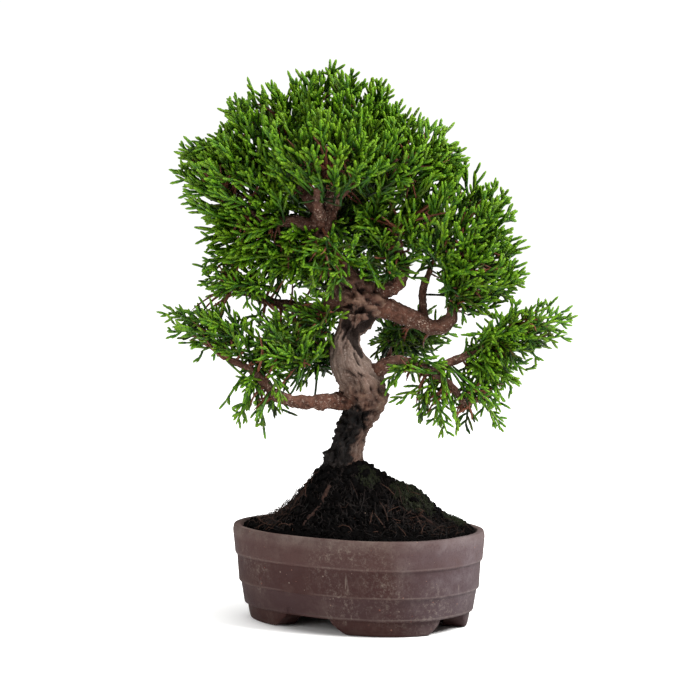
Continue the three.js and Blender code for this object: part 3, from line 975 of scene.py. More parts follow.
@dataclass(frozen=True)
class ShootFinish:
    """Juniper shoots: leaf greens by painted shade and hue, brighter towards the tip, with scale leaves."""

    # painted shade and light: the shaded, middle and lit greens, and a tip green that is partly young growth and partly
    # painted highlight
    painted_shade_green: Colour = srgb(10, 22, 1)
    middle: Colour = srgb(31, 66, 3)
    painted_lit_green: Colour = srgb(53, 98, 4)
    tip: Colour = srgb(124, 164, 22)
    bluish: Colour = srgb(26, 74, 18)
    yellowish: Colour = srgb(88, 104, 12)
    bark: Colour = srgb(100, 58, 40)
    bark_dark: Colour = srgb(58, 36, 27)

    def build(self) -> Material:
        """Makes the material, which reads only the shoots' UV map.

        Returns:
            The finished material.
        """
        material, g, shader = new_material("juniper_shoots")
        uv = g.uv("OFBake")
        split = g.node("SeparateXYZ", {"Vector": uv})
        cells = g.times(split.outputs["X"], float(TONE_CELLS))
        cell = g.math("FLOOR", cells)
        around = g.math("FRACT", cells)
        along = split.outputs["Y"]
        # the shoot's painted shade: 0 shaded, 1 middle, 2 lit
        depth = g.math("FLOOR", g.math("DIVIDE", cell, 4.0))
        hue = g.minus(cell, g.times(depth, 4.0))
        base = g.mix(g.math("COMPARE", depth, 1.0), self.painted_shade_green, self.middle)
        base = g.mix(g.math("GREATER_THAN", depth, 1.5), base, self.painted_lit_green)
        base = g.mix(g.times(g.math("COMPARE", hue, 1.0), 0.45), base, self.bluish)
        base = g.mix(g.times(g.math("COMPARE", hue, 3.0), 0.4), base, self.yellowish)
        # the tips are lighter, partly as young growth and partly as painted light that is stronger on lit outer shoots
        outer = g.plus(g.times(depth, 0.28), 0.1)
        lift = g.times(g.ramp(along, [(0.3, 0.0), (0.7, 0.45), (1.0, 0.9)]), outer)
        # painted shade: each shoot is darkened towards its base, inside the pad
        base = g.mix(g.ramp(along, [(0.0, 0.75), (0.45, 0.0)]), base, self.painted_shade_green)
        base = g.mix(lift, base, self.tip)
        wave = g.math("SINE", g.times(along, 34.0))
        cross = g.math("SINE", g.times(around, 12.566))
        scales = g.times(wave, cross)
        # painted shade: the low parts of the scale-leaf pattern, which the bump also lowers, are darkened
        base = g.mix(g.ramp(scales, [(0.0, 0.38), (0.35, 0.0)]), base, self.painted_shade_green)
        twig = g.mix(g.math("FRACT", g.times(cell, 0.5)), self.bark, self.bark_dark)
        is_twig = g.math("GREATER_THAN", cell, TWIG_TONES - 0.5)
        g.feed(shader, "Base Color", g.mix(is_twig, base, twig))
        g.feed(shader, "Normal", g.bump(scales, 0.35, 0.0004))
        shader.inputs["Roughness"].default_value = 0.46
        shader.inputs["Specular IOR Level"].default_value = 0.16
        return material


@dataclass(frozen=True)
class BarkFinish:
    """Flaking juniper bark, black and wet at the foot, smooth grey-beige at the waist, brown above, with painted shade
    in its grooves and hollows and a painted highlight on the burrs' ridges.
    """

    brown_deep: Colour = srgb(40, 23, 18)
    brown: Colour = srgb(86, 58, 47)
    strand: Colour = srgb(100, 79, 68)
    flake: Colour = srgb(134, 118, 106)
    beige_deep: Colour = srgb(48, 36, 30)
    beige: Colour = srgb(116, 100, 91)
    blotch: Colour = srgb(70, 52, 43)
    bleached: Colour = srgb(150, 137, 128)
    rind_deep: Colour = srgb(52, 29, 22)
    rind: Colour = srgb(92, 58, 45)
    scurf: Colour = srgb(186, 166, 150)
    # painted shade in grooves and hollows
    painted_hollow_shade: Colour = srgb(17, 10, 8)
    crack: Colour = srgb(24, 15, 12)
    # painted highlight on the burrs' ridges
    painted_ridge_highlight: Colour = srgb(122, 98, 82)
    wet_black: Colour = srgb(1, 1, 1)
    wet_brown: Colour = srgb(32, 22, 17)

    def build(self) -> Material:
        """Makes the material, which reads Object coordinates and the bark UV map.

        Returns:
            The finished material.
        """
        material, g, shader = new_material("juniper_bark")
        place = g.place()
        uv = g.uv("Bark")
        relief = g.mask("relief")
        wet = g.mask("wet")
        pale = g.mask("pale")
        strands = g.noise(g.node("Mapping", {"Vector": uv, "Scale": (1.0, 0.14, 1.0)}).outputs[0], 26.0, 8.0, 0.75)
        flakes = g.noise(place, 620.0, 6.0, 0.7)
        broad = g.noise(place, 120.0, 4.0, 0.6)
        brown = g.mix(g.ramp(broad, [(0.35, 0.0), (0.65, 1.0)]), self.brown_deep, self.brown)
        burr = g.mask("burr")
        straight = g.minus(1.0, g.times(burr, 0.75))
        brown = g.mix(g.times(g.ramp(strands, [(0.44, 0.0), (0.66, 0.7)]), straight), brown, self.strand)
        brown = g.mix(g.flecks(place, 620.0, 0.57, 0.66, 0.6), brown, self.flake)
        beige = g.mix(g.ramp(strands, [(0.3, 0.0), (0.68, 1.0)]), self.beige_deep, self.beige)
        beige = g.mix(g.flecks(place, 260.0, 0.46, 0.66, 0.6), beige, self.blotch)
        beige = g.mix(g.flecks(place, 820.0, 0.56, 0.68, 0.6), beige, self.bleached)
        colour = g.mix(pale, brown, beige)
        young = g.mask("young")
        rind = g.mix(g.flecks(place, 190.0, 0.4, 0.62, 1.0), self.rind_deep, self.rind)
        colour = g.mix(g.times(young, 0.6), colour, rind)
        scurf = g.times(g.flecks(place, 780.0, 0.56, 0.62, 0.85), g.flecks(place, 90.0, 0.42, 0.62, 1.0))
        colour = g.mix(g.times(young, scurf), colour, self.scurf)
        # painted shade: the bark is darkened where the relief is low, in grooves and hollows
        painted_hollow_shade = g.ramp(relief, [(0.22, 1.0), (0.5, 0.0)])
        colour = g.mix(g.times(painted_hollow_shade, 0.9), colour, self.painted_hollow_shade)
        cracks = g.times(g.ramp(strands, [(0.3, 0.75), (0.44, 0.0)]), straight)
        cracks = g.times(cracks, g.minus(1.0, g.times(pale, 0.6)))
        colour = g.mix(cracks, colour, self.crack)
        # painted highlight: the raised ridges of the burrs are painted lighter
        colour = g.mix(g.times(g.ramp(relief, [(0.62, 0.0), (1.0, 0.5)]), burr), colour, self.painted_ridge_highlight)
        soaked = g.mix(g.flecks(place, 540.0, 0.54, 0.72, 0.9), self.wet_black, self.wet_brown)
        colour = g.mix(g.times(wet, 0.96), colour, soaked)
        g.feed(shader, "Base Color", colour)
        g.feed(shader, "Roughness", g.ramp(wet, [(0.0, 0.78), (1.0, 0.45)]))
        grain = g.plus(g.times(strands, 1.4), flakes)
        g.feed(shader, "Normal", g.bump(grain, 0.8, 0.0008))
        shader.inputs["Specular IOR Level"].default_value = 0.1
        return material


# heights on the trunk where its character changes
FOOT_TOP, WET_TOP, BELLY, WAIST, KNOT, RIND_FROM, FORKS = 78, 120, 124, 148, 181, 196, 200
TRUNK_SHRINK = 0.3  # millimetres that the mean surface lies inside the trunk's plain radius
DEEPEST_SHARE = 0.55  # of the radius, the deepest that a groove may go
HOLLOW_SHADE = 1.9  # how strongly the bark in hollows is painted darker, as painted shade


@dataclass
class Limb:
    """A trunk or bough: a sheet rolled round the limb's line, with lumps, twisted grooves and flakes."""

    name: str
    stations: list[Station]
    place: Placement
    sides: int = 20
    step: float = 1.2
    groove: float = 0.25
    lump: float = 0.5
    is_trunk: bool = False
    seed: float = 0.0

    def build(self) -> Piece:
        """Models the limb.

        Returns:
            The finished piece, not yet dressed.
        """
        stations = np.array(self.stations, float)
        length = np.linalg.norm(np.diff(stations[:, :3], axis=0), axis=1).sum()
        rings = max(12, int(length / self.step))
        deselect_all()
        bpy.ops.mesh.primitive_grid_add(x_subdivisions=self.sides, y_subdivisions=rings, size=1.0)
        obj = bpy.context.object
        obj.name = self.name
        obj.data.name = self.name
        obj.data.uv_layers[0].name = "Bark"
        flat = points_of(obj)
        around = (flat[:, 0] + 0.5) * 2 * math.pi
        ring = np.round((flat[:, 1] + 0.5) * rings).astype(int)
        line, radius = limb_line(self.stations, rings + 1)
        side, other = carried_frames(line)
        out = side[ring] * np.cos(around)[:, None] + other[ring] * np.sin(around)[:, None]
        along = ring / rings * length
        base_radius = radius[ring]
        centre = line[ring]
        surface = centre + out * base_radius[:, None]
        relief, lift = self.relief(surface, centre, around, along, base_radius)
        end = np.clip((rings - ring) / 3.0, 0, 1) ** 0.5
        points = centre + out * ((base_radius + lift) * end)[:, None]
        move_points(obj, self.place.tree(points))
        self.write_masks(obj, relief, surface, out)
        activate(obj)
        edit_all()
        bpy.ops.mesh.remove_doubles(threshold=0.000002)
        bpy.ops.mesh.select_all(action="DESELECT")
        bpy.ops.mesh.select_non_manifold(extend=False)
        bpy.ops.mesh.edge_face_add()
        face_outwards()
        bpy.ops.object.shade_smooth()
        return obj

    def relief(
        self, surface: Array, centre: Array, around: Array, along: Array, radius: Array
    ) -> tuple[Array, Array]:
        """The bark's relief.

        Args:
            surface: places on the plain limb.
            centre: places on its line.
            around: angles round it.
            along: distances along it.
            radius: its plain radii.

        Returns:
            The relief from 0, a groove, to 1, a ridge, and the lift in millimetres.
        """
        grain = 2.0 if self.is_trunk else 1.1
        twist = around + along * 0.03 + 0.8 * fractal_field(surface, 20.0, 2, self.seed + 3)
        rolled = np.stack([np.cos(twist) * grain, np.sin(twist) * grain, along / 17.0], axis=1)
        furrow = 1 - np.abs(fractal_field(rolled, 1.0, 3, self.seed + 4)) * 2.2
        fine = fractal_field(rolled * [1, 1, 1.5], 0.32, 2, self.seed + 5)
        broad = fractal_field(surface, 9.0 if self.is_trunk else 4.5, 2, self.seed + 1)
        crust = fractal_field(surface, 2.6, 3, self.seed + 2)
        share = np.minimum(1.0, radius / 6)
        lift = self.lump * broad * share + self.groove * (furrow - 0.45) * radius / 9
        lift += 0.22 * fine * share + 0.3 * np.round(crust * 2) * share
        # level is the relief that the bark finish paints: low as painted shade in grooves and hollows, high as a
        # painted highlight on burr ridges
        level = 0.55 + 0.45 * (furrow - 0.5) + 0.25 * crust + 0.12 * fine
        if not self.is_trunk:
            level = 0.6 + 0.5 * (level - 0.6)
            lift += (0.5 * crust + 0.35 * np.maximum(fine, 0)) * share
        if self.is_trunk:
            z = surface[:, 2]
            burr = bell(z, KNOT, 9) + 0.55 * bell(z, BELLY, 9)
            burr = burr + 0.35 * np.clip((z - FORKS) / 10, 0, 1)
            calm = 1 - 0.45 * bell(z, WAIST, 9)
            lift *= calm
            level = 0.62 + (level - 0.62) * calm
            folds = 1 - np.abs(fractal_field(surface * [1, 1, 1.5], 8.5, 2, 12.0)) * 2.4
            lift += burr * (2.3 * (folds - 0.5) + 0.9 * crust)
            level = level + burr * 0.4 * (folds - 0.3)
            shaggy = np.clip((WET_TOP - z) / 4, 0, 1) * np.clip((4 - surface[:, 0] + centre[:, 0]) / 5, 0, 1)
            lift += shaggy * (1.1 * fractal_field(surface, 3.6, 3, 21.0) + 1.5 * np.maximum(crust, 0))
        for x, y, height, spread, rise in self.lumps():
            away = np.linalg.norm(surface - np.array([x, y, height]), axis=1)
            near = np.exp(-0.5 * (away / spread) ** 2)
            near = np.clip(1.8 * near - 0.45, 0, 1) if rise < 0 and self.is_trunk else near
            lift = lift + rise * near
            # painted shade: hollows lower the painted level, burrs raise it
            level = level + np.where(rise < 0, -HOLLOW_SHADE, 0.14) * near
        if self.is_trunk:
            lift = lift - lift.mean() - TRUNK_SHRINK
        return np.clip(level, 0, 1), np.maximum(lift, -DEEPEST_SHARE * radius)

    def lumps(self) -> list[tuple[float, float, float, float, float]]:
        """The trunk's own burrs and hollows, or small spurs along a bough.

        Returns:
            The place, spread and rise of each.
        """
        if self.is_trunk:
            return TRUNK_LUMPS
        rng = np.random.default_rng(int(self.seed * 7) + 5)
        line, radius = limb_line(self.stations, 60)
        made = []
        for at in rng.integers(3, 58, max(3, int(len(self.stations) * 2.6))):
            out = unit(rng.normal(size=3)) * radius[at]
            made.append((*(line[at] + out), 0.9 + 0.25 * radius[at], 0.34 * radius[at] ** 0.7))
        return made

    def write_masks(self, obj: Piece, relief: Array, surface: Array, out: Array) -> None:
        """Writes the relief, wet, pale, burr and young masks as point attributes.

        Args:
            obj: the limb.
            relief: its relief, from 0 to 1.
            surface: places on the plain limb.
            out: the outward directions there.
        """
        if self.is_trunk:
            ragged = fractal_field(surface, 7.0, 3, 5.0)
            z = surface[:, 2]
            tilt = 0.006 * (z - 95)
            right = np.clip((out[:, 0] - out[:, 1] * 0.2 + 0.35 * ragged - 0.42 - tilt) / 0.12, 0, 1)
            low = np.clip((WET_TOP + 6 * ragged - z) / 2, 0, 1) * (1 - right)
            foot = np.clip((FOOT_TOP + 6 * ragged - z) / 6, 0, 1)
            wet = np.maximum(low, foot)
            waist = bell(z, WAIST + 2, 13)
            pale = np.clip(waist * 1.1 + 0.35 * ragged + 0.35 * right * (z < WET_TOP - 2), 0, 1)
            burr = bell(z, KNOT, 11)
            burr = np.clip(burr + bell(z, BELLY + 1, 7), 0, 1)
            young = np.clip((z - RIND_FROM) / 14, 0, 1)
        else:
            wet = burr = np.zeros(len(surface))
            young = np.ones(len(surface))
            pale = np.clip(0.12 + 0.4 * fractal_field(surface, 8.0, 2, 7.0), 0, 1)
        for name, values in (("relief", relief), ("wet", wet), ("pale", pale), ("burr", burr), ("young", young)):
            attribute = obj.data.attributes.new(name, "FLOAT", "POINT")
            attribute.data.foreach_set("value", values.astype(np.float32))


# burrs on the trunk, and hollows where the rise is negative, which are also painted darker as shade: x, y, z, spread
# and rise
TRUNK_LUMPS: list[tuple[float, float, float, float, float]] = [
    (15, -5, 127, 3.4, 1.6), (12, -8, 121, 3.2, 1.4), (6, -10, 133, 3.6, 1.6), (-10, -8, 143, 5.0, 1.4),
    (14, -3, 176, 4.0, 2.4), (6, -9, 171, 3.2, 2.4), (9, -8, 182, 3.6, 2.0), (11, 0, 189, 3.2, 3.0),
    (-8, -6, 174, 3.4, 2.4), (-2, -9, 182, 3.6, 1.8), (-12, -2, 181, 3.4, 2.4), (3, -6, 192, 2.8, 2.6),
    (-16, -4, 205, 3.0, 1.4), (-26, -3, 215, 3.4, 1.8), (-18, -6, 226, 3.4, 1.6), (-26, -4, 224, 3.4, 1.4),
    (-22, -6, 72, 6.0, 2.5), (-4, -12, 72, 6.0, 2.2), (-14, 8, 128, 7.0, 1.6), (-19, -3, 84, 3.0, 1.6),
    (-2.5, -9, 162, 2.6, -3.4), (0.2, -8, 158, 3.4, -4.4), (2.6, -7, 153, 2.6, -3.4),
    (2.8, -8, 157.5, 1.3, 4.4), (-1.8, -10, 160, 1.0, 2.6), (-3.5, -10, 157, 1.6, 1.4), (-7, -8, 168, 2.4, -2.6),
    (3, -5, 167.5, 3.2, -3.4),
    (8, -3, 168.5, 3.4, -4.2), (2, -9, 176, 1.5, -2.6), (10, -5, 178, 1.3, -2.4), (-4, -8, 178, 1.3, -2.2),
    (7, -4, 193.5, 2.2, -3.0), (-1, -9, 114, 1.8, -1.8), (5, -10, 117.5, 1.6, -1.8), (-9, -9, 120, 1.5, -2.0),
    (11, -7, 131, 1.2, 1.4), (-12, -4, 134, 1.4, -1.6),
]


# ---- pot ------------------------------------------------------------------------------------------


def rounded_line(corners: list[Triple], step: float) -> list[tuple[float, float]]:
    """Rounds a profile's corners and splits its long spans.

    Args:
        corners: radius, height and how far back each corner is rounded.
        step: the longest span that is left.

    Returns:
        The profile's points.
    """
    points = [np.array(corners[0][:2])]
    for before, here, after in zip(corners, corners[1:], corners[2:]):
        a, b, c = (np.array(p[:2]) for p in (before, here, after))
        p, q = b + unit(a - b) * here[2], b + unit(c - b) * here[2]
        points += [along_bend(p, b, q, t) for t in (0, 0.35, 0.65, 1)]
    points.append(np.array(corners[-1][:2]))
    out = [points[0]]
    for a, b in zip(points, points[1:]):
        parts = max(1, math.ceil(np.linalg.norm(b - a) / step))
        out += [a + (b - a) * k / parts for k in range(1, parts + 1)]
    return [tuple(p) for p in out]


@dataclass
class Pot:
    """The oval stoneware pot: three bands that each step in below the last, four bracket feet, two drains."""

    place: Placement
    half_length: float = 75.0
    half_width: float = 56.0
    height: float = 54.0
    squareness: float = 2.36
    wall: float = 5.2
    underside: float = 8.6
    floor_top: float = 13.6
    segments: int = 176
    foot_half_span: float = math.radians(35)
    foot_depth: float = 13.0
    foot_inset: float = 8.2
    drain_radius: float = 6.5
    drain_offset: float = 30.0
    chip_angle: float = math.radians(264)

    def half_length_at(self, r: Array) -> Array:
        """Half of the plan's length where its half width is r."""
        return r + (self.half_length - self.half_width) * np.minimum(1, 2 * np.asarray(r) / self.half_width)

    def plan(self, r: Array, angle: Array) -> tuple[Array, Array]:
        """The plan's X and Y at half width r and an angle.

        Args:
            r: half widths.
            angle: angles round the plan.

        Returns:
            X and Y, in millimetres.
        """
        power = 2 / self.squareness
        c, s = np.cos(angle), np.sin(angle)
        return self.half_length_at(r) * np.sign(c) * np.abs(c) ** power, r * np.sign(s) * np.abs(s) ** power

    def profile(self) -> list[tuple[float, float]]:
        """The wall's profile, from under the pot, up the outside, over the lip and down the inside.

        Returns:
            Half width and height of each point.
        """
        w, h = self.half_width, self.height
        inner = w - self.wall
        return rounded_line(
            [
                (w - 12, self.underside, 0), (w - 6.4, self.underside, 0.9), (w - 4.2, 21.3, 0.45),
                (w - 3.1, 21.8, 0.35), (w - 2.2, 37.1, 0.45), (w - 1.2, 37.6, 0.35), (w, h - 3.0, 1.0),
                (w - 0.7, h, 0.6), (inner + 1.2, h, 0.6), (inner, h - 2.2, 1.0), (inner - 5.2, self.floor_top + 6, 1.2),
                (inner - 8.6, self.floor_top, 1.4), (inner - 12, self.floor_top, 0),
            ],
            2.6,
        )

    def shell(self) -> Piece:
        """Raises the wall ring by ring from the underside's disc.

        Returns:
            The closed shell, without feet.
        """
        profile = self.profile()
        deselect_all()
        bpy.ops.mesh.primitive_circle_add(vertices=self.segments, radius=1.0, fill_type="NGON")
        obj = bpy.context.object
        points = points_of(obj)
        x, y = self.plan(profile[0][0], np.arctan2(points[:, 1], points[:, 0]))
        move_points(obj, np.stack([x, y, np.full(len(x), profile[0][1])], axis=1))
        edit_all()
        for (r0, z0), (r1, z1) in zip(profile, profile[1:]):
            bpy.ops.mesh.extrude_region_move(TRANSFORM_OT_translate={"value": (0, 0, z1 - z0)})
            ratio = float(self.half_length_at(r1) / self.half_length_at(r0))
            bpy.ops.transform.resize(value=(ratio, r1 / r0, 1), center_override=(0, 0, 0))
        face_outwards()
        return obj

    def foot(self) -> Piece:
        """One bracket foot under a corner, whose ends curve in towards the ground.

        Returns:
            The foot, as a closed mesh.
        """
        deselect_all()
        bpy.ops.mesh.primitive_cube_add(size=1.0)
        obj = bpy.context.object
        edit_all()
        bpy.ops.mesh.subdivide(number_cuts=11)
        bpy.ops.object.mode_set(mode="OBJECT")
        apply_modifier(obj, "BEVEL", width=0.055, segments=3, limit_method="ANGLE", angle_limit=math.radians(50))
        v = points_of(obj)
        up = v[:, 2] + 0.5
        span = self.foot_half_span * (0.76 + 0.24 * np.sin(up * math.pi / 2))
        angle = math.radians(45) - 2 * v[:, 0] * span
        inset = self.foot_inset + 1.6 * (1 - up) ** 2 + (0.5 - v[:, 1]) * self.foot_depth
        x, y = self.plan(self.half_width - inset, angle)
        move_points(obj, np.stack([x, y, up * (self.underside + 0.8)], axis=1))
        return obj

    def cutters(self) -> list[Piece]:
        """The drain holes' cutters and the lump that chips the lower band's edge.

        Returns:
            Closed meshes to cut from the pot.
        """
        made = []
        for x in (-self.drain_offset, self.drain_offset):
            bpy.ops.mesh.primitive_circle_add(
                vertices=40, radius=self.drain_radius, fill_type="NGON", location=(x, 0, self.underside - 4)
            )
            edit_all()
            bpy.ops.mesh.extrude_region_move(TRANSFORM_OT_translate={"value": (0, 0, 14)})
            bpy.ops.transform.resize(value=(1.12, 1.12, 1), center_override=(x, 0, 0))
            face_outwards()
            made.append(bpy.context.object)
        chip_x, chip_y = self.plan(self.half_width - 5.4, self.chip_angle)
        bpy.ops.mesh.primitive_ico_sphere_add(
            subdivisions=3, radius=1.0, location=(float(chip_x), float(chip_y), self.underside + 1.6)
        )
        chip = bpy.context.object
        points = points_of(chip)
        ragged = 1 + 0.3 * fractal_field(points, 0.7, 2, 3.0)
        move_points(chip, points * ragged[:, None] * [3.2, 1.5, 2.7])
        made.append(chip)
        return made

    def build(self) -> None:
        """Models and dresses the pot."""
        body = self.shell()
        body.name = "stoneware_pot"
        body.data.name = "stoneware_pot"
        first = self.foot()
        tools = [("UNION", first)]
        for sx, sy in ((-1, 1), (1, -1), (-1, -1)):
            activate(first)
            bpy.ops.object.duplicate()
            copy = bpy.context.object
            move_points(copy, points_of(first) * [sx, sy, 1])
            bpy.ops.object.mode_set(mode="EDIT")
            face_outwards()
            tools.append(("UNION", copy))
        tools += [("DIFFERENCE", cutter) for cutter in self.cutters()]
        for operation, tool in tools:
            apply_modifier(body, "BOOLEAN", operation=operation, object=tool, solver="EXACT")
            bpy.data.objects.remove(tool)
        points = points_of(body)
        out = unit(points * [1, 1.3, 0] + 1e-9)
        slow = fractal_field(points, 34.0, 2, 8.0)
        quick = fractal_field(points, 7.0, 2, 9.0)
        above = np.clip((points[:, 2] - 0.4) / 1.5, 0, 1)[:, None]
        points = points + out * (0.3 * slow + 0.07 * quick)[:, None] + np.array([0, 0, 0.22]) * slow[:, None] * above
        move_points(body, self.place.pot(points))
        activate(body)
        bpy.ops.object.shade_smooth_by_angle(angle=math.radians(38))
        hand_over(body, StonewareFinish().build(), "stoneware", "pot")


@dataclass(frozen=True)
class StonewareFinish:
    """Unglazed brown stoneware: greyer above, redder below, with dust, specks and a lime bloom, lighter towards the
    rim, with a painted highlight along each band's bottom edge and a painted sky reflection on the right side.
    """

    upper: Colour = srgb(60, 39, 36)
    middle: Colour = srgb(45, 21, 18)
    lower: Colour = srgb(46, 27, 27)
    feet: Colour = srgb(42, 17, 12)
    # dust, also used as the painted highlight along the bands' bottom edges
    dust_and_edge_highlight: Colour = srgb(100, 88, 82)
    lime: Colour = srgb(112, 101, 92)
    # painted sky reflection
    painted_sky_reflection: Colour = srgb(108, 104, 112)
    speck: Colour = srgb(112, 54, 36)
    pit: Colour = srgb(38, 26, 24)

    def build(self) -> Material:
        """Makes the material, which reads Object coordinates.

        Returns:
            The finished material.
        """
        material, g, shader = new_material("unglazed_stoneware")
        place = g.place()
        broad = g.noise(place, 26.0, 4.0, 0.6)
        clouds = g.noise(place, 70.0, 6.0, 0.68)
        grit = g.noise(place, 950.0, 3.0, 0.7)
        z = g.times(g.node("SeparateXYZ", {"Vector": place}).outputs["Z"], 1000.0)
        z = g.plus(z, g.times(g.minus(clouds, 0.5), 0.8))
        colour = self.feet
        for level, tone in ((9.2, self.lower), (21.6, self.middle), (37.4, self.upper)):
            step = g.node("MapRange", {0: z, 1: level - 0.3, 2: level + 0.3}).outputs[0]
            colour = g.mix(step, colour, tone)
        colour = g.mix(g.ramp(broad, [(0.35, 0.0), (0.7, 0.45)]), colour, self.lower)
        colour = g.mix(g.flecks(place, 70.0, 0.48, 0.75, 0.24), colour, self.dust_and_edge_highlight)
        # lighter in patches towards the rim
        rim = g.node("MapRange", {0: z, 1: 46.5, 2: 54.0}).outputs[0]
        colour = g.mix(g.times(rim, g.ramp(clouds, [(0.3, 0.05), (0.65, 0.6)])), colour, self.dust_and_edge_highlight)
        # painted highlight: a lighter line along the bottom edge of each band
        for level in (21.9, 37.7, 9.4):
            gap = g.math("ABSOLUTE", g.math("DIVIDE", g.minus(z, level + 0.5), 0.7))
            near = g.minus(1.0, gap)
            edge = g.times(g.math("MAXIMUM", near, 0.0), g.ramp(broad, [(0.4, 0.0), (0.65, 0.4)]))
            colour = g.mix(edge, colour, self.dust_and_edge_highlight)
        patches = g.ramp(g.noise(place, 20.0, 3.0, 0.6), [(0.5, 0.0), (0.66, 1.0)])
        bloom = g.times(patches, g.ramp(g.noise(place, 420.0, 8.0, 0.85), [(0.5, 0.0), (0.64, 0.6)]))
        colour = g.mix(bloom, colour, self.lime)
        # painted reflection: the pot's right side takes a grey-violet sky reflection
        across = g.node("SeparateXYZ", {"Vector": place}).outputs["X"]
        right = g.node("MapRange", {0: across, 1: 0.045, 2: 0.09}).outputs[0]
        colour = g.mix(g.times(right, g.ramp(clouds, [(0.3, 0.15), (0.7, 0.6)])), colour, self.painted_sky_reflection)
        cells = g.node("TexVoronoi", {"Vector": place, "Scale": 330.0})
        pick = g.node("SeparateXYZ", {"Vector": cells.outputs["Color"]})
        dot = g.math("LESS_THAN", cells.outputs["Distance"], g.times(pick.outputs["X"], 0.16))
        some = g.times(dot, g.math("GREATER_THAN", pick.outputs["Y"], 0.55))
        colour = g.mix(g.times(some, 0.75), colour, g.mix(pick.outputs["Z"], self.speck, self.lime))
        marks = g.noise(g.node("Mapping", {"Vector": place, "Scale": (260.0, 260.0, 26.0)}).outputs[0], 1.0, 5.0, 0.7)
        scratch = g.times(g.ramp(marks, [(0.64, 0.0), (0.67, 0.4)]), g.ramp(broad, [(0.5, 0.0), (0.62, 1.0)]))
        colour = g.mix(scratch, colour, self.lime)
        colour = g.mix(g.ramp(grit, [(0.3, 0.35), (0.5, 0.0)]), colour, self.pit)
        g.feed(shader, "Base Color", colour)
        g.feed(shader, "Roughness", g.ramp(clouds, [(0.3, 0.62), (0.7, 0.88)]))
        height = g.plus(g.times(grit, 0.5), g.plus(clouds, g.times(some, -0.25)))
        g.feed(shader, "Normal", g.bump(height, 0.5, 0.0005))
        shader.inputs["Specular IOR Level"].default_value = 0.16
        return material


# ---- soil, litter and moss ------------------------------------------------------------------------


@dataclass(frozen=True)
class EarthFinish:
    """Wet, black, crumbly soil."""

    name: str = "soil_black"
    dark: Colour = srgb(0, 0, 0)
    mid: Colour = srgb(4, 3, 3)
    light: Colour = srgb(26, 19, 16)

    def build(self) -> Material:
        """Makes the material, which reads Object coordinates.

        Returns:
            The finished material.
        """
        material, g, shader = new_material(self.name)
        place = g.place()
        broad = g.noise(place, 160.0, 3.0, 0.6)
        fine = g.noise(place, 900.0, 4.0, 0.7)
        colour = g.mix(broad, self.dark, self.mid)
        colour = g.mix(g.flecks(place, 900.0, 0.56, 0.74, 0.8), colour, self.light)
        g.feed(shader, "Base Color", colour)
        g.feed(shader, "Roughness", g.ramp(broad, [(0.3, 0.55), (0.7, 0.95)]))
        g.feed(shader, "Normal", g.bump(fine, 0.8, 0.0007))
        shader.inputs["Specular IOR Level"].default_value = 0.03
        return material


@dataclass(frozen=True)
class StrandFinish:
    """Fibres, bark strips or moss: tones by cell along the shoots' UV map."""

    name: str
    tones: tuple[Colour, ...]
    tip: Colour
    tip_share: float = 0.4

    def build(self) -> Material:
        """Makes the material, which reads only the strands' UV map.

        Returns:
            The finished material.
        """
        material, g, shader = new_material(self.name)
        split = g.node("SeparateXYZ", {"Vector": g.uv("OFBake")})
        cell = g.math("DIVIDE", g.math("FLOOR", g.times(split.outputs["X"], float(TONE_CELLS))), 15.0)
        stops = [(k / (len(self.tones) - 1), tone) for k, tone in enumerate(self.tones)]
        colour = g.ramp(cell, stops)
        along = split.outputs["Y"]
        colour = g.mix(g.ramp(along, [(0.3, 0.0), (1.0, self.tip_share)]), colour, self.tip)
        rings = g.math("SINE", g.times(along, 40.0))
        colour = g.mix(g.ramp(rings, [(0.0, 0.35), (0.4, 0.0)]), colour, self.tones[0])
        g.feed(shader, "Base Color", colour)
        shader.inputs["Roughness"].default_value = 0.7
        shader.inputs["Specular IOR Level"].default_value = 0.15
        return material


@dataclass
class Ground:
    """The soil's shape: a level edge, a steep mound round the trunk and a shoulder at its right."""

    edge: float = 50.5
    peak: float = 91.0
    centre_x: float = -9.0
    left_spread: float = 20.0
    right_spread: float = 30.0
    depth_spread: float = 20.0
    shoulder: tuple[float, float, float, float] = (34.0, -3.0, 7.0, 10.0)

    def height(self, x: Array, y: Array) -> Array:
        """The ground's height at places in the tree's front frame.

        Args:
            x: to the right, in millimetres.
            y: away from the viewer.

        Returns:
            Heights, in millimetres.
        """
        dx = x - self.centre_x
        spread = np.where(dx < 0, self.left_spread, self.right_spread)
        mound = (self.peak - self.edge) * np.exp(-0.5 * ((dx / spread) ** 2 + (y / self.depth_spread) ** 2))
        sx, sy, rise, reach = self.shoulder
        return self.edge + mound + rise * np.exp(-0.5 * (np.hypot(x - sx, y - sy) / reach) ** 2)

    def on(self, xy: Array, above: float = 0.0) -> Array:
        """Places on the ground, or a little above it."""
        return np.concatenate([xy, self.height(xy[:, 0], xy[:, 1])[:, None] + above], axis=1)


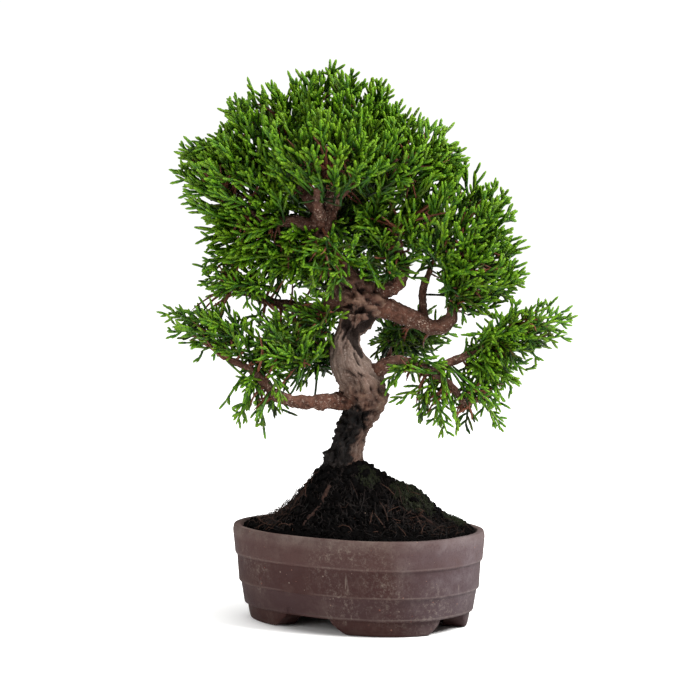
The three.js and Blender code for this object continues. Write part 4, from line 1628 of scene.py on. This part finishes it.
@dataclass
class Soil:
    """The soil body with its crumbs, fibres and specks."""

    place: Placement
    pot: Pot
    ground: Ground
    strand: ShootModel
    crumbs: int = 4600
    seed: int = 77

    def to_front(self, x: Array, y: Array) -> tuple[Array, Array]:
        """Takes places of the pot's frame to the tree's front frame."""
        return turn_by(x, y, -FRONT_TURN)

    def bed(self) -> Piece:
        """The rough surface, closed by a skirt and a bottom above the drain nets.

        Returns:
            The object, not yet dressed.
        """
        deselect_all()
        bpy.ops.mesh.primitive_grid_add(x_subdivisions=150, y_subdivisions=150, size=2.0)
        obj = bpy.context.object
        v = points_of(obj)
        disc_x, disc_y = v[:, 0] * np.sqrt(1 - v[:, 1] ** 2 / 2), v[:, 1] * np.sqrt(1 - v[:, 0] ** 2 / 2)
        share = np.hypot(disc_x, disc_y)
        edge = self.pot.half_width - self.pot.wall - 0.5
        x, y = self.pot.plan(share * edge, np.arctan2(disc_y, disc_x))
        fx, fy = self.to_front(x, y)
        z = self.ground.height(fx, fy)
        flat = np.stack([fx, fy, z], axis=1)
        raised = np.clip((z - self.ground.edge) / 12, 0, 1)
        rough = (2.0 + 1.8 * raised) * fractal_field(flat, 7.0, 3, 2.0) + 1.6 * fractal_field(flat, 2.4, 3, 4.0)
        rough *= np.clip((1.0 - share) * 9, 0.15, 1)
        move_points(obj, np.stack([x, y, z + rough + TREE_LIFT], axis=1))
        bpy.ops.object.mode_set(mode="EDIT")
        bpy.ops.mesh.select_all(action="DESELECT")
        bpy.ops.mesh.select_non_manifold()
        for r0, r1, depth in ((edge, edge - 5.0, 19.8), (edge - 5.0, edge - 9.0, 15.4)):
            bpy.ops.mesh.extrude_region_move(TRANSFORM_OT_translate={"value": (0, 0, 0)})
            ratio = float(self.pot.half_length_at(r1) / self.pot.half_length_at(r0))
            bpy.ops.transform.resize(value=(ratio, r1 / r0, 0), center_override=(0, 0, depth))
        bpy.ops.mesh.edge_face_add()
        face_outwards()
        bpy.ops.object.shade_smooth()
        move_points(obj, self.place.pot(points_of(obj)))
        obj.name = "soil_bed"
        return obj

    def scatter(self, rng: Rng, count: int, margin: float = 1.6) -> Array:
        """Random places in the pot's opening, in the tree's front frame.

        Args:
            rng: draws the places.
            count: how many.
            margin: how far they stay off the wall.

        Returns:
            (count, 2) places.
        """
        share = np.sqrt(rng.random(count))
        edge = self.pot.half_width - self.pot.wall - margin
        x, y = self.pot.plan(share * edge, rng.uniform(0, 2 * math.pi, count))
        return np.stack(self.to_front(x, y), axis=1)

    def grains(
        self,
        name: str,
        count: int,
        sizes: tuple[float, float],
        rng: Rng,
        at: Array,
        detail: int = 1,
    ) -> Piece:
        """Copies one rough grain all over the ground.

        Args:
            name: the piece's name.
            count: how many grains.
            sizes: smallest and largest radius.
            rng: draws their places and sizes.
            at: (count, 2) places in the front frame.
            detail: subdivisions of the grain that is copied.

        Returns:
            The grains as one object.
        """
        deselect_all()
        bpy.ops.mesh.primitive_ico_sphere_add(subdivisions=detail, radius=1.0)
        grain = bpy.context.object
        shape = points_of(grain)
        faces = np.array([list(p.vertices) for p in grain.data.polygons])
        bpy.data.objects.remove(grain)
        size = rng.uniform(*sizes, (count, 1, 1)) * rng.uniform(0.65, 1.25, (count, 1, 3))
        rough = 0.2 if detail == 1 else 0.09
        body = shape[None] * size * rng.uniform(1 - rough, 1 + rough, (count, len(shape), 1))
        spin = unit(rng.normal(size=(count, 3)))
        second = unit(np.cross(spin, rng.normal(size=(count, 3))))
        basis = np.stack([spin, second, np.cross(spin, second)], axis=1)
        body = np.einsum("nij,njk->nik", body, basis)
        centre = self.ground.on(at, 0.35)
        points = self.place.tree(body + centre[:, None, :]).reshape(-1, 3)
        loops = (faces[None] + (np.arange(count) * len(shape))[:, None, None]).reshape(-1, 3)
        mesh = bpy.data.meshes.new(name)
        mesh.from_pydata(points.tolist(), [], loops.tolist())
        obj = add_object(name, mesh)
        activate(obj)
        bpy.ops.object.shade_smooth_by_angle(angle=math.radians(50))
        return obj

    def fibres(self, rng: Rng) -> Piece:
        """Thin roots and bark shreds that lie and curl on the soil.

        Args:
            rng: draws their places and curls.

        Returns:
            The object, not yet dressed.
        """
        bundle = ShootBundle()
        for centre, spread, count, lengths, radii, loose, brown in (
            ((0, 0), (40, 34), 520, (3, 8), (0.12, 0.24), 0.25, 0.05),
            ((-10, -8), (15, 15), 1150, (1.5, 4.5), (0.16, 0.34), 0.6, 0.0),
            ((24, -10), (14, 12), 420, (1.5, 4.5), (0.14, 0.3), 0.5, 0.0),
            ((-46, -16), (11, 9), 230, (5, 13), (0.16, 0.34), 0.4, 0.4),
            ((-40, -4), (7, 6), 120, (5, 12), (0.14, 0.28), 0.7, 0.5),
            ((28, -30), (17, 9), 280, (4, 11), (0.18, 0.44), 0.3, 0.28),
            ((52, -22), (9, 9), 150, (3, 8), (0.12, 0.24), 0.4, 0.25),
        ):
            at = rng.normal(size=(count, 2)) * spread + centre
            at = at[self.inside(at, 2.5)]
            n = len(at)
            turn = rng.uniform(0, 2 * math.pi, n)
            step = np.stack([np.cos(turn), np.sin(turn)], axis=1) * (rng.uniform(*lengths, n) * 0.5)[:, None]
            bend = rng.normal(0, 0.6 * lengths[0], (n, 2))
            ends = [self.ground.on(at + step * k, 0.5) for k in (-1, 1)]
            middle = self.ground.on(at + bend, 0.9)
            middle[:, 2] += rng.gamma(1.2, 0.3 * lengths[0], n)
            ends[1][:, 2] += np.where(rng.random(n) < loose, rng.uniform(0.3, 0.55, n) * lengths[1], 0)
            radius = rng.uniform(*radii, n)
            tones = np.where(rng.random(n) < brown, rng.integers(6, 10, n), rng.choice([0, 2, 5, 12, 13, 15], n))
            bundle.add(np.stack([ends[0], middle, ends[1]], axis=1), radius, radius * 0.6, tones)
        return bundle.mesh("soil_fibres", self.strand, self.place, rng)

    def inside(self, at: Array, margin: float) -> Array:
        """Which places in the front frame are in the pot's opening.

        Args:
            at: (n, 2) places.
            margin: how far they must stay off the wall.

        Returns:
            (n,) true where they do.
        """
        x, y = turn_by(at[:, 0], at[:, 1], FRONT_TURN)
        edge = self.pot.half_width - self.pot.wall - margin
        across = np.abs(x / self.pot.half_length_at(edge)) ** self.pot.squareness
        return across + np.abs(y / edge) ** self.pot.squareness < 1

    def build(self) -> None:
        """Models and dresses the soil and what lies on it."""
        rng = np.random.default_rng(self.seed)
        earth = EarthFinish().build()
        bed = self.bed()
        hand_over(bed, earth, "soil", "soil")
        crumbs = self.grains("soil_crumbs", self.crumbs, (0.5, 1.9), rng, self.scatter(rng, self.crumbs))
        hand_over(crumbs, earth, "soil", "soil")
        spots = rng.normal(size=(110, 2)) * (15, 11) + (-13, -6)
        clods = self.grains("soil_clods", len(spots), (1.6, 3.4), rng, spots, 2)
        hand_over(clods, earth, "soil")
        pale = EarthFinish("pumice_specks", srgb(96, 78, 68), srgb(150, 132, 120), srgb(200, 190, 180)).build()
        specks = self.grains("soil_specks", 70, (0.35, 0.75), rng, self.scatter(rng, 70, 4.0))
        hand_over(specks, pale, "soil")
        fibres = self.fibres(rng)
        black, peat, umber = srgb(4, 3, 2), srgb(10, 6, 5), srgb(8, 5, 4)
        tones = (black, peat, umber, srgb(66, 43, 32), umber, srgb(14, 9, 7), srgb(4, 3, 3))
        hand_over(fibres, StrandFinish("bark_fibres", tones, srgb(70, 44, 33), 0.12).build(), "root")


@dataclass
class Moss:
    """Low dark pillows of moss on the soil."""

    place: Placement
    ground: Ground
    strand: ShootModel
    seed: int = 91

    def patch(
        self, name: str, centre: tuple[float, float], size: Triple, tufts: int, rng: Rng
    ) -> Piece:
        """One pillow with its tufts.

        Args:
            name: the CAD node that it stands for.
            centre: its middle in the front frame.
            size: half length, half width and thickness.
            tufts: how many tufts stand on it.
            rng: draws the tufts.

        Returns:
            The finished piece, not yet dressed.
        """
        deselect_all()
        bpy.ops.mesh.primitive_uv_sphere_add(segments=44, ring_count=22, radius=1.0)
        pillow = bpy.context.object
        v = points_of(pillow)
        lobes = np.sin(5 * np.arctan2(v[:, 1], v[:, 0]) + centre[0])
        ragged = 1 + 0.12 * lobes + 0.16 * fractal_field(v, 0.8, 3, centre[1])
        x, y = centre[0] + v[:, 0] * size[0] * ragged, centre[1] + v[:, 1] * size[1] * ragged
        rise = np.where(v[:, 2] > 0, v[:, 2] * size[2], v[:, 2] * 2.0)
        z = self.ground.height(x, y) + rise
        surface = np.stack([x, y, z], axis=1)
        surface[:, 2] += 0.5 * fractal_field(surface, 2.0, 3, 6.0)
        move_points(pillow, self.place.tree(surface))
        pillow.data.uv_layers[0].name = "OFBake"
        bpy.ops.object.shade_smooth()
        turn, share = rng.uniform(0, 2 * math.pi, tufts), np.sqrt(rng.random(tufts))
        at = np.stack([centre[0] + np.cos(turn) * share * size[0], centre[1] + np.sin(turn) * share * size[1]], axis=1)
        base = self.ground.on(at, 0.0)
        base[:, 2] += np.sqrt(1 - share**2) * size[2] - 0.5
        grow = unit(rng.normal(0, 0.5, (tufts, 3)) + [0, 0, 1]) * rng.uniform(1.0, 2.6, (tufts, 1))
        lean = rng.normal(0, 0.35, (tufts, 3))
        bundle = ShootBundle()
        paths = np.stack([base, base + grow * 0.5 + lean, base + grow], axis=1)
        bundle.add(paths, rng.uniform(0.25, 0.4, tufts), np.full(tufts, 0.2), rng.integers(0, 16, tufts))
        piece = bundle.mesh(name.replace("moss", "moss_cushion"), self.strand, self.place, rng)
        activate(piece)
        pillow.select_set(True)
        bpy.ops.object.join()
        return piece

    def build(self) -> None:
        """Models and dresses every patch."""
        rng = np.random.default_rng(self.seed)
        tones = (srgb(3, 4, 2), srgb(13, 17, 6), srgb(6, 8, 3), srgb(24, 29, 9))
        finish = StrandFinish("moss_olive", tones, srgb(46, 52, 18), 0.4).build()
        for name, centre, size, tufts in (
            ("moss_at_trunk", (5, -11), (8, 6, 2.0), 520),
            ("moss_on_slope", (31, -11), (13, 9, 2.0), 1100),
            ("moss_at_right_rim", (55, -6), (7, 9, 2.0), 640),
            ("moss_behind", (8, 23), (15, 9, 2.2), 1200),
        ):
            piece = self.patch(name, centre, size, tufts, rng)
            hand_over(piece, finish, "moss", name)


@dataclass
class SurfaceRoots:
    """Roots that lie half sunk in the soil."""

    place: Placement
    ground: Ground

    def build(self) -> None:
        """Models and dresses the three roots."""
        finish = RootFinish().build()
        for index, (name, route) in enumerate(
            (
                ("surface_root_left", ((-29, -5), (-38, -9), (-46, -8), (-53, -10))),
                ("surface_root_front", ((-16, -17), (-22, -25), (-27, -28), (-31, -33))),
                ("surface_root_right", ((34, -20), (42, -24), (47, -30), (55, -32))),
            )
        ):
            places = self.ground.on(np.array(route, float), 0.5)
            stations = [(*p, 1.25 - 0.22 * k) for k, p in enumerate(places.tolist())]
            strand = name.replace("surface_root", "root_strand")
            piece = Limb(
                strand, stations, self.place, sides=12, step=0.7, groove=0.9, lump=0.6, seed=40.0 + index
            ).build()
            hand_over(piece, finish, "root", name)


@dataclass(frozen=True)
class RootFinish:
    """Reddish-brown fibrous root bark."""

    dark: Colour = srgb(8, 5, 4)
    red: Colour = srgb(44, 25, 18)
    fleck: Colour = srgb(74, 48, 35)

    def build(self) -> Material:
        """Makes the material, which reads Object coordinates and the bark UV map.

        Returns:
            The finished material.
        """
        material, g, shader = new_material("root_bark")
        uv = g.uv("Bark")
        strands = g.noise(g.node("Mapping", {"Vector": uv, "Scale": (1.0, 0.2, 1.0)}).outputs[0], 22.0, 5.0, 0.7)
        place = g.place()
        colour = g.mix(strands, self.dark, self.red)
        colour = g.mix(g.flecks(place, 600.0, 0.55, 0.7, 0.5), colour, self.fleck)
        g.feed(shader, "Base Color", colour)
        shader.inputs["Roughness"].default_value = 0.85
        shader.inputs["Specular IOR Level"].default_value = 0.15
        g.feed(shader, "Normal", g.bump(strands, 0.7, 0.0005))
        return material


@dataclass
class DrainNets:
    """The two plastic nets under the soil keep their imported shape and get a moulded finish."""

    nodes: dict

    def build(self) -> None:
        """Dresses both nets."""
        material, g, shader = new_material("net_black_plastic")
        place = g.place()
        dusty = g.noise(place, 300.0, 4.0, 0.6)
        grime = g.flecks(place, 300.0, 0.5, 0.7, 0.5)
        g.feed(shader, "Base Color", g.mix(grime, srgb(24, 24, 25), srgb(74, 66, 58)))
        g.feed(shader, "Roughness", g.ramp(dusty, [(0.3, 0.42), (0.7, 0.75)]))
        g.feed(shader, "Normal", g.bump(g.noise(place, 1400.0), 0.2, 0.0003))
        for name in ("drain_net_left", "drain_net_right"):
            self.nodes[name].data.materials.clear()
            self.nodes[name].data.materials.append(material)
            LOG.info("%s: keeps its packed shape", name)


# ---- stage and main -------------------------------------------------------------------------------


@dataclass
class Studio:
    """The pale floor, the soft lights and the camera."""

    place: Placement
    camera_at: Triple = (-4.42, -1472.9, 256.06)
    pitch: float = math.radians(4.0)
    lens: float = 133.714

    def build(self) -> None:
        """Sets the stage."""
        self.floor()
        self.camera()
        self.lights()

    def floor(self) -> None:
        """A wide pale plane under the pot's feet, which glows as painted light: its emission rises from nothing under
        the pot to full further out, leaving painted shade round the pot.
        """
        deselect_all()
        bpy.ops.mesh.primitive_plane_add(size=8.0, location=(0, 0, -0.0002))
        plane = bpy.context.object
        plane.name = "floor"
        bpy.ops.object.transform_apply(location=True)
        material, graph, shader = new_material("pale_floor")
        oval = graph.node("Mapping", {"Vector": graph.node("TexCoord").outputs["Object"], "Scale": (1.6, 2.2, 0.0)})
        away = graph.node("VectorMath", {0: oval.outputs[0]}, operation="LENGTH").outputs["Value"]
        # painted light and shade: the floor's glow, nothing close to the pot and full far away
        painted_floor_glow = graph.ramp(away, [(0.1, 0.0), (0.13, 0.35), (0.2, 0.7), (0.5, 0.9), (1.0, 1.0)])
        graph.tree.links.new(painted_floor_glow, shader.inputs["Emission Color"])
        shader.inputs["Emission Strength"].default_value = 1.0
        shader.inputs["Base Color"].default_value = (0.86, 0.855, 0.84, 1)
        shader.inputs["Roughness"].default_value = 0.7
        plane.data.materials.append(material)

    def camera(self) -> None:
        """A long lens at the tree's front, a little above it."""
        data = bpy.data.cameras.new("camera")
        data.lens = self.lens
        data.sensor_width = 36.0
        data.clip_end = 20.0
        camera = add_object("camera", data)
        camera.location = self.place.tree(np.array(self.camera_at))
        camera.rotation_euler = (math.pi / 2 - self.pitch, 0, FRONT_TURN)
        bpy.context.scene.camera = camera

    def lights(self) -> None:
        """A large soft key at the upper right, a weak fill at the left, and a white room."""
        for name, at, size, power in (
            ("key", (680, -330, 840), 420, 26.0),
            ("top", (-120, 100, 1100), 700, 5.0),
            ("fill", (-900, -600, 420), 700, 7.5),
        ):
            data = bpy.data.lights.new(name, "AREA")
            data.energy = power
            data.size = size * MM
            light = add_object(name, data)
            light.location = self.place.tree(np.array(at, float))
            aim = Vector(self.place.tree(np.array([0.0, 0.0, 170.0]))) - light.location
            light.rotation_euler = aim.to_track_quat("-Z", "Y").to_euler()
        world = bpy.data.worlds.new("room")
        bpy.context.scene.world = world
        world.use_nodes = True
        tree = world.node_tree
        tree.nodes.clear()
        g = Graph(tree)
        seen = g.node("LightPath").outputs["Is Camera Ray"]
        strength = g.plus(g.times(seen, 0.83), 0.22)
        back = g.node("Background", {"Color": (1, 1, 1, 1), "Strength": strength})
        g.node("OutputWorld", {"Surface": back.outputs[0]})
        scene = bpy.context.scene
        scene.view_settings.view_transform = "Standard"
        scene.view_settings.look = "None"


@dataclass
class Wood:
    """The trunk and its boughs."""

    place: Placement

    def build(self) -> Array:
        """Models and dresses every limb.

        Returns:
            (n, 3) places on the boughs and the upper trunk, from which twigs can grow.
        """
        bark = BarkFinish().build()
        trunk = Limb(
            "trunk_wood", TRUNK, self.place, sides=96, step=0.75, groove=2.0, lump=0.8, is_trunk=True
        ).build()
        hand_over(trunk, bark, "bark", "trunk")
        lines = [limb_line(TRUNK, 60)[0][46:]]  # the trunk above its knot
        for index, (name, stations) in enumerate(BOUGHS.items()):
            bough = name.replace("bough", "bough_wood")
            piece = Limb(bough, stations, self.place, sides=22, step=0.8, groove=1.4, seed=index + 1.0).build()
            hand_over(piece, bark, "bark", name)
            lines.append(limb_line(stations, 30)[0][9:])  # each bough's outer two thirds
        return np.concatenate(lines)


@dataclass
class Foliage:
    """All the pads of shoots."""

    place: Placement
    wood: Array

    def build(self) -> None:
        """Models and dresses every pad."""
        finish = ShootFinish().build()
        model = ShootModel()
        for index, (name, plan) in enumerate([*PADS.items(), *STRAYS.items()]):
            others = [p for key, p in PADS.items() if key != name] if name in PADS else []
            rng = np.random.default_rng(1000 + index)
            piece = FoliagePad(name, plan, model, self.place, self.wood, others, rng).build()
            hand_over(piece, finish, "foliage", *([name] if name in PADS else []))


def main() -> None:
    """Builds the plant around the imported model."""
    logging.basicConfig(level=logging.INFO, format="%(message)s")
    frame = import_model()
    deselect_all()
    place = Placement.from_frame()
    Studio(place).build()
    pot = Pot(place)
    pot.build()
    DrainNets(frame["nodes"]).build()
    ground = Ground()
    strand = ShootModel(sides=4, rings=((0.3, 1.1), (0.35, 1.0), (0.28, 0.7)), tip_rise=0.07)
    Soil(place, pot, ground, strand).build()
    Moss(place, ground, strand).build()
    SurfaceRoots(place, ground).build()
    wood = Wood(place).build()
    Foliage(place, wood).build()


if __name__ == "__main__":
    main()
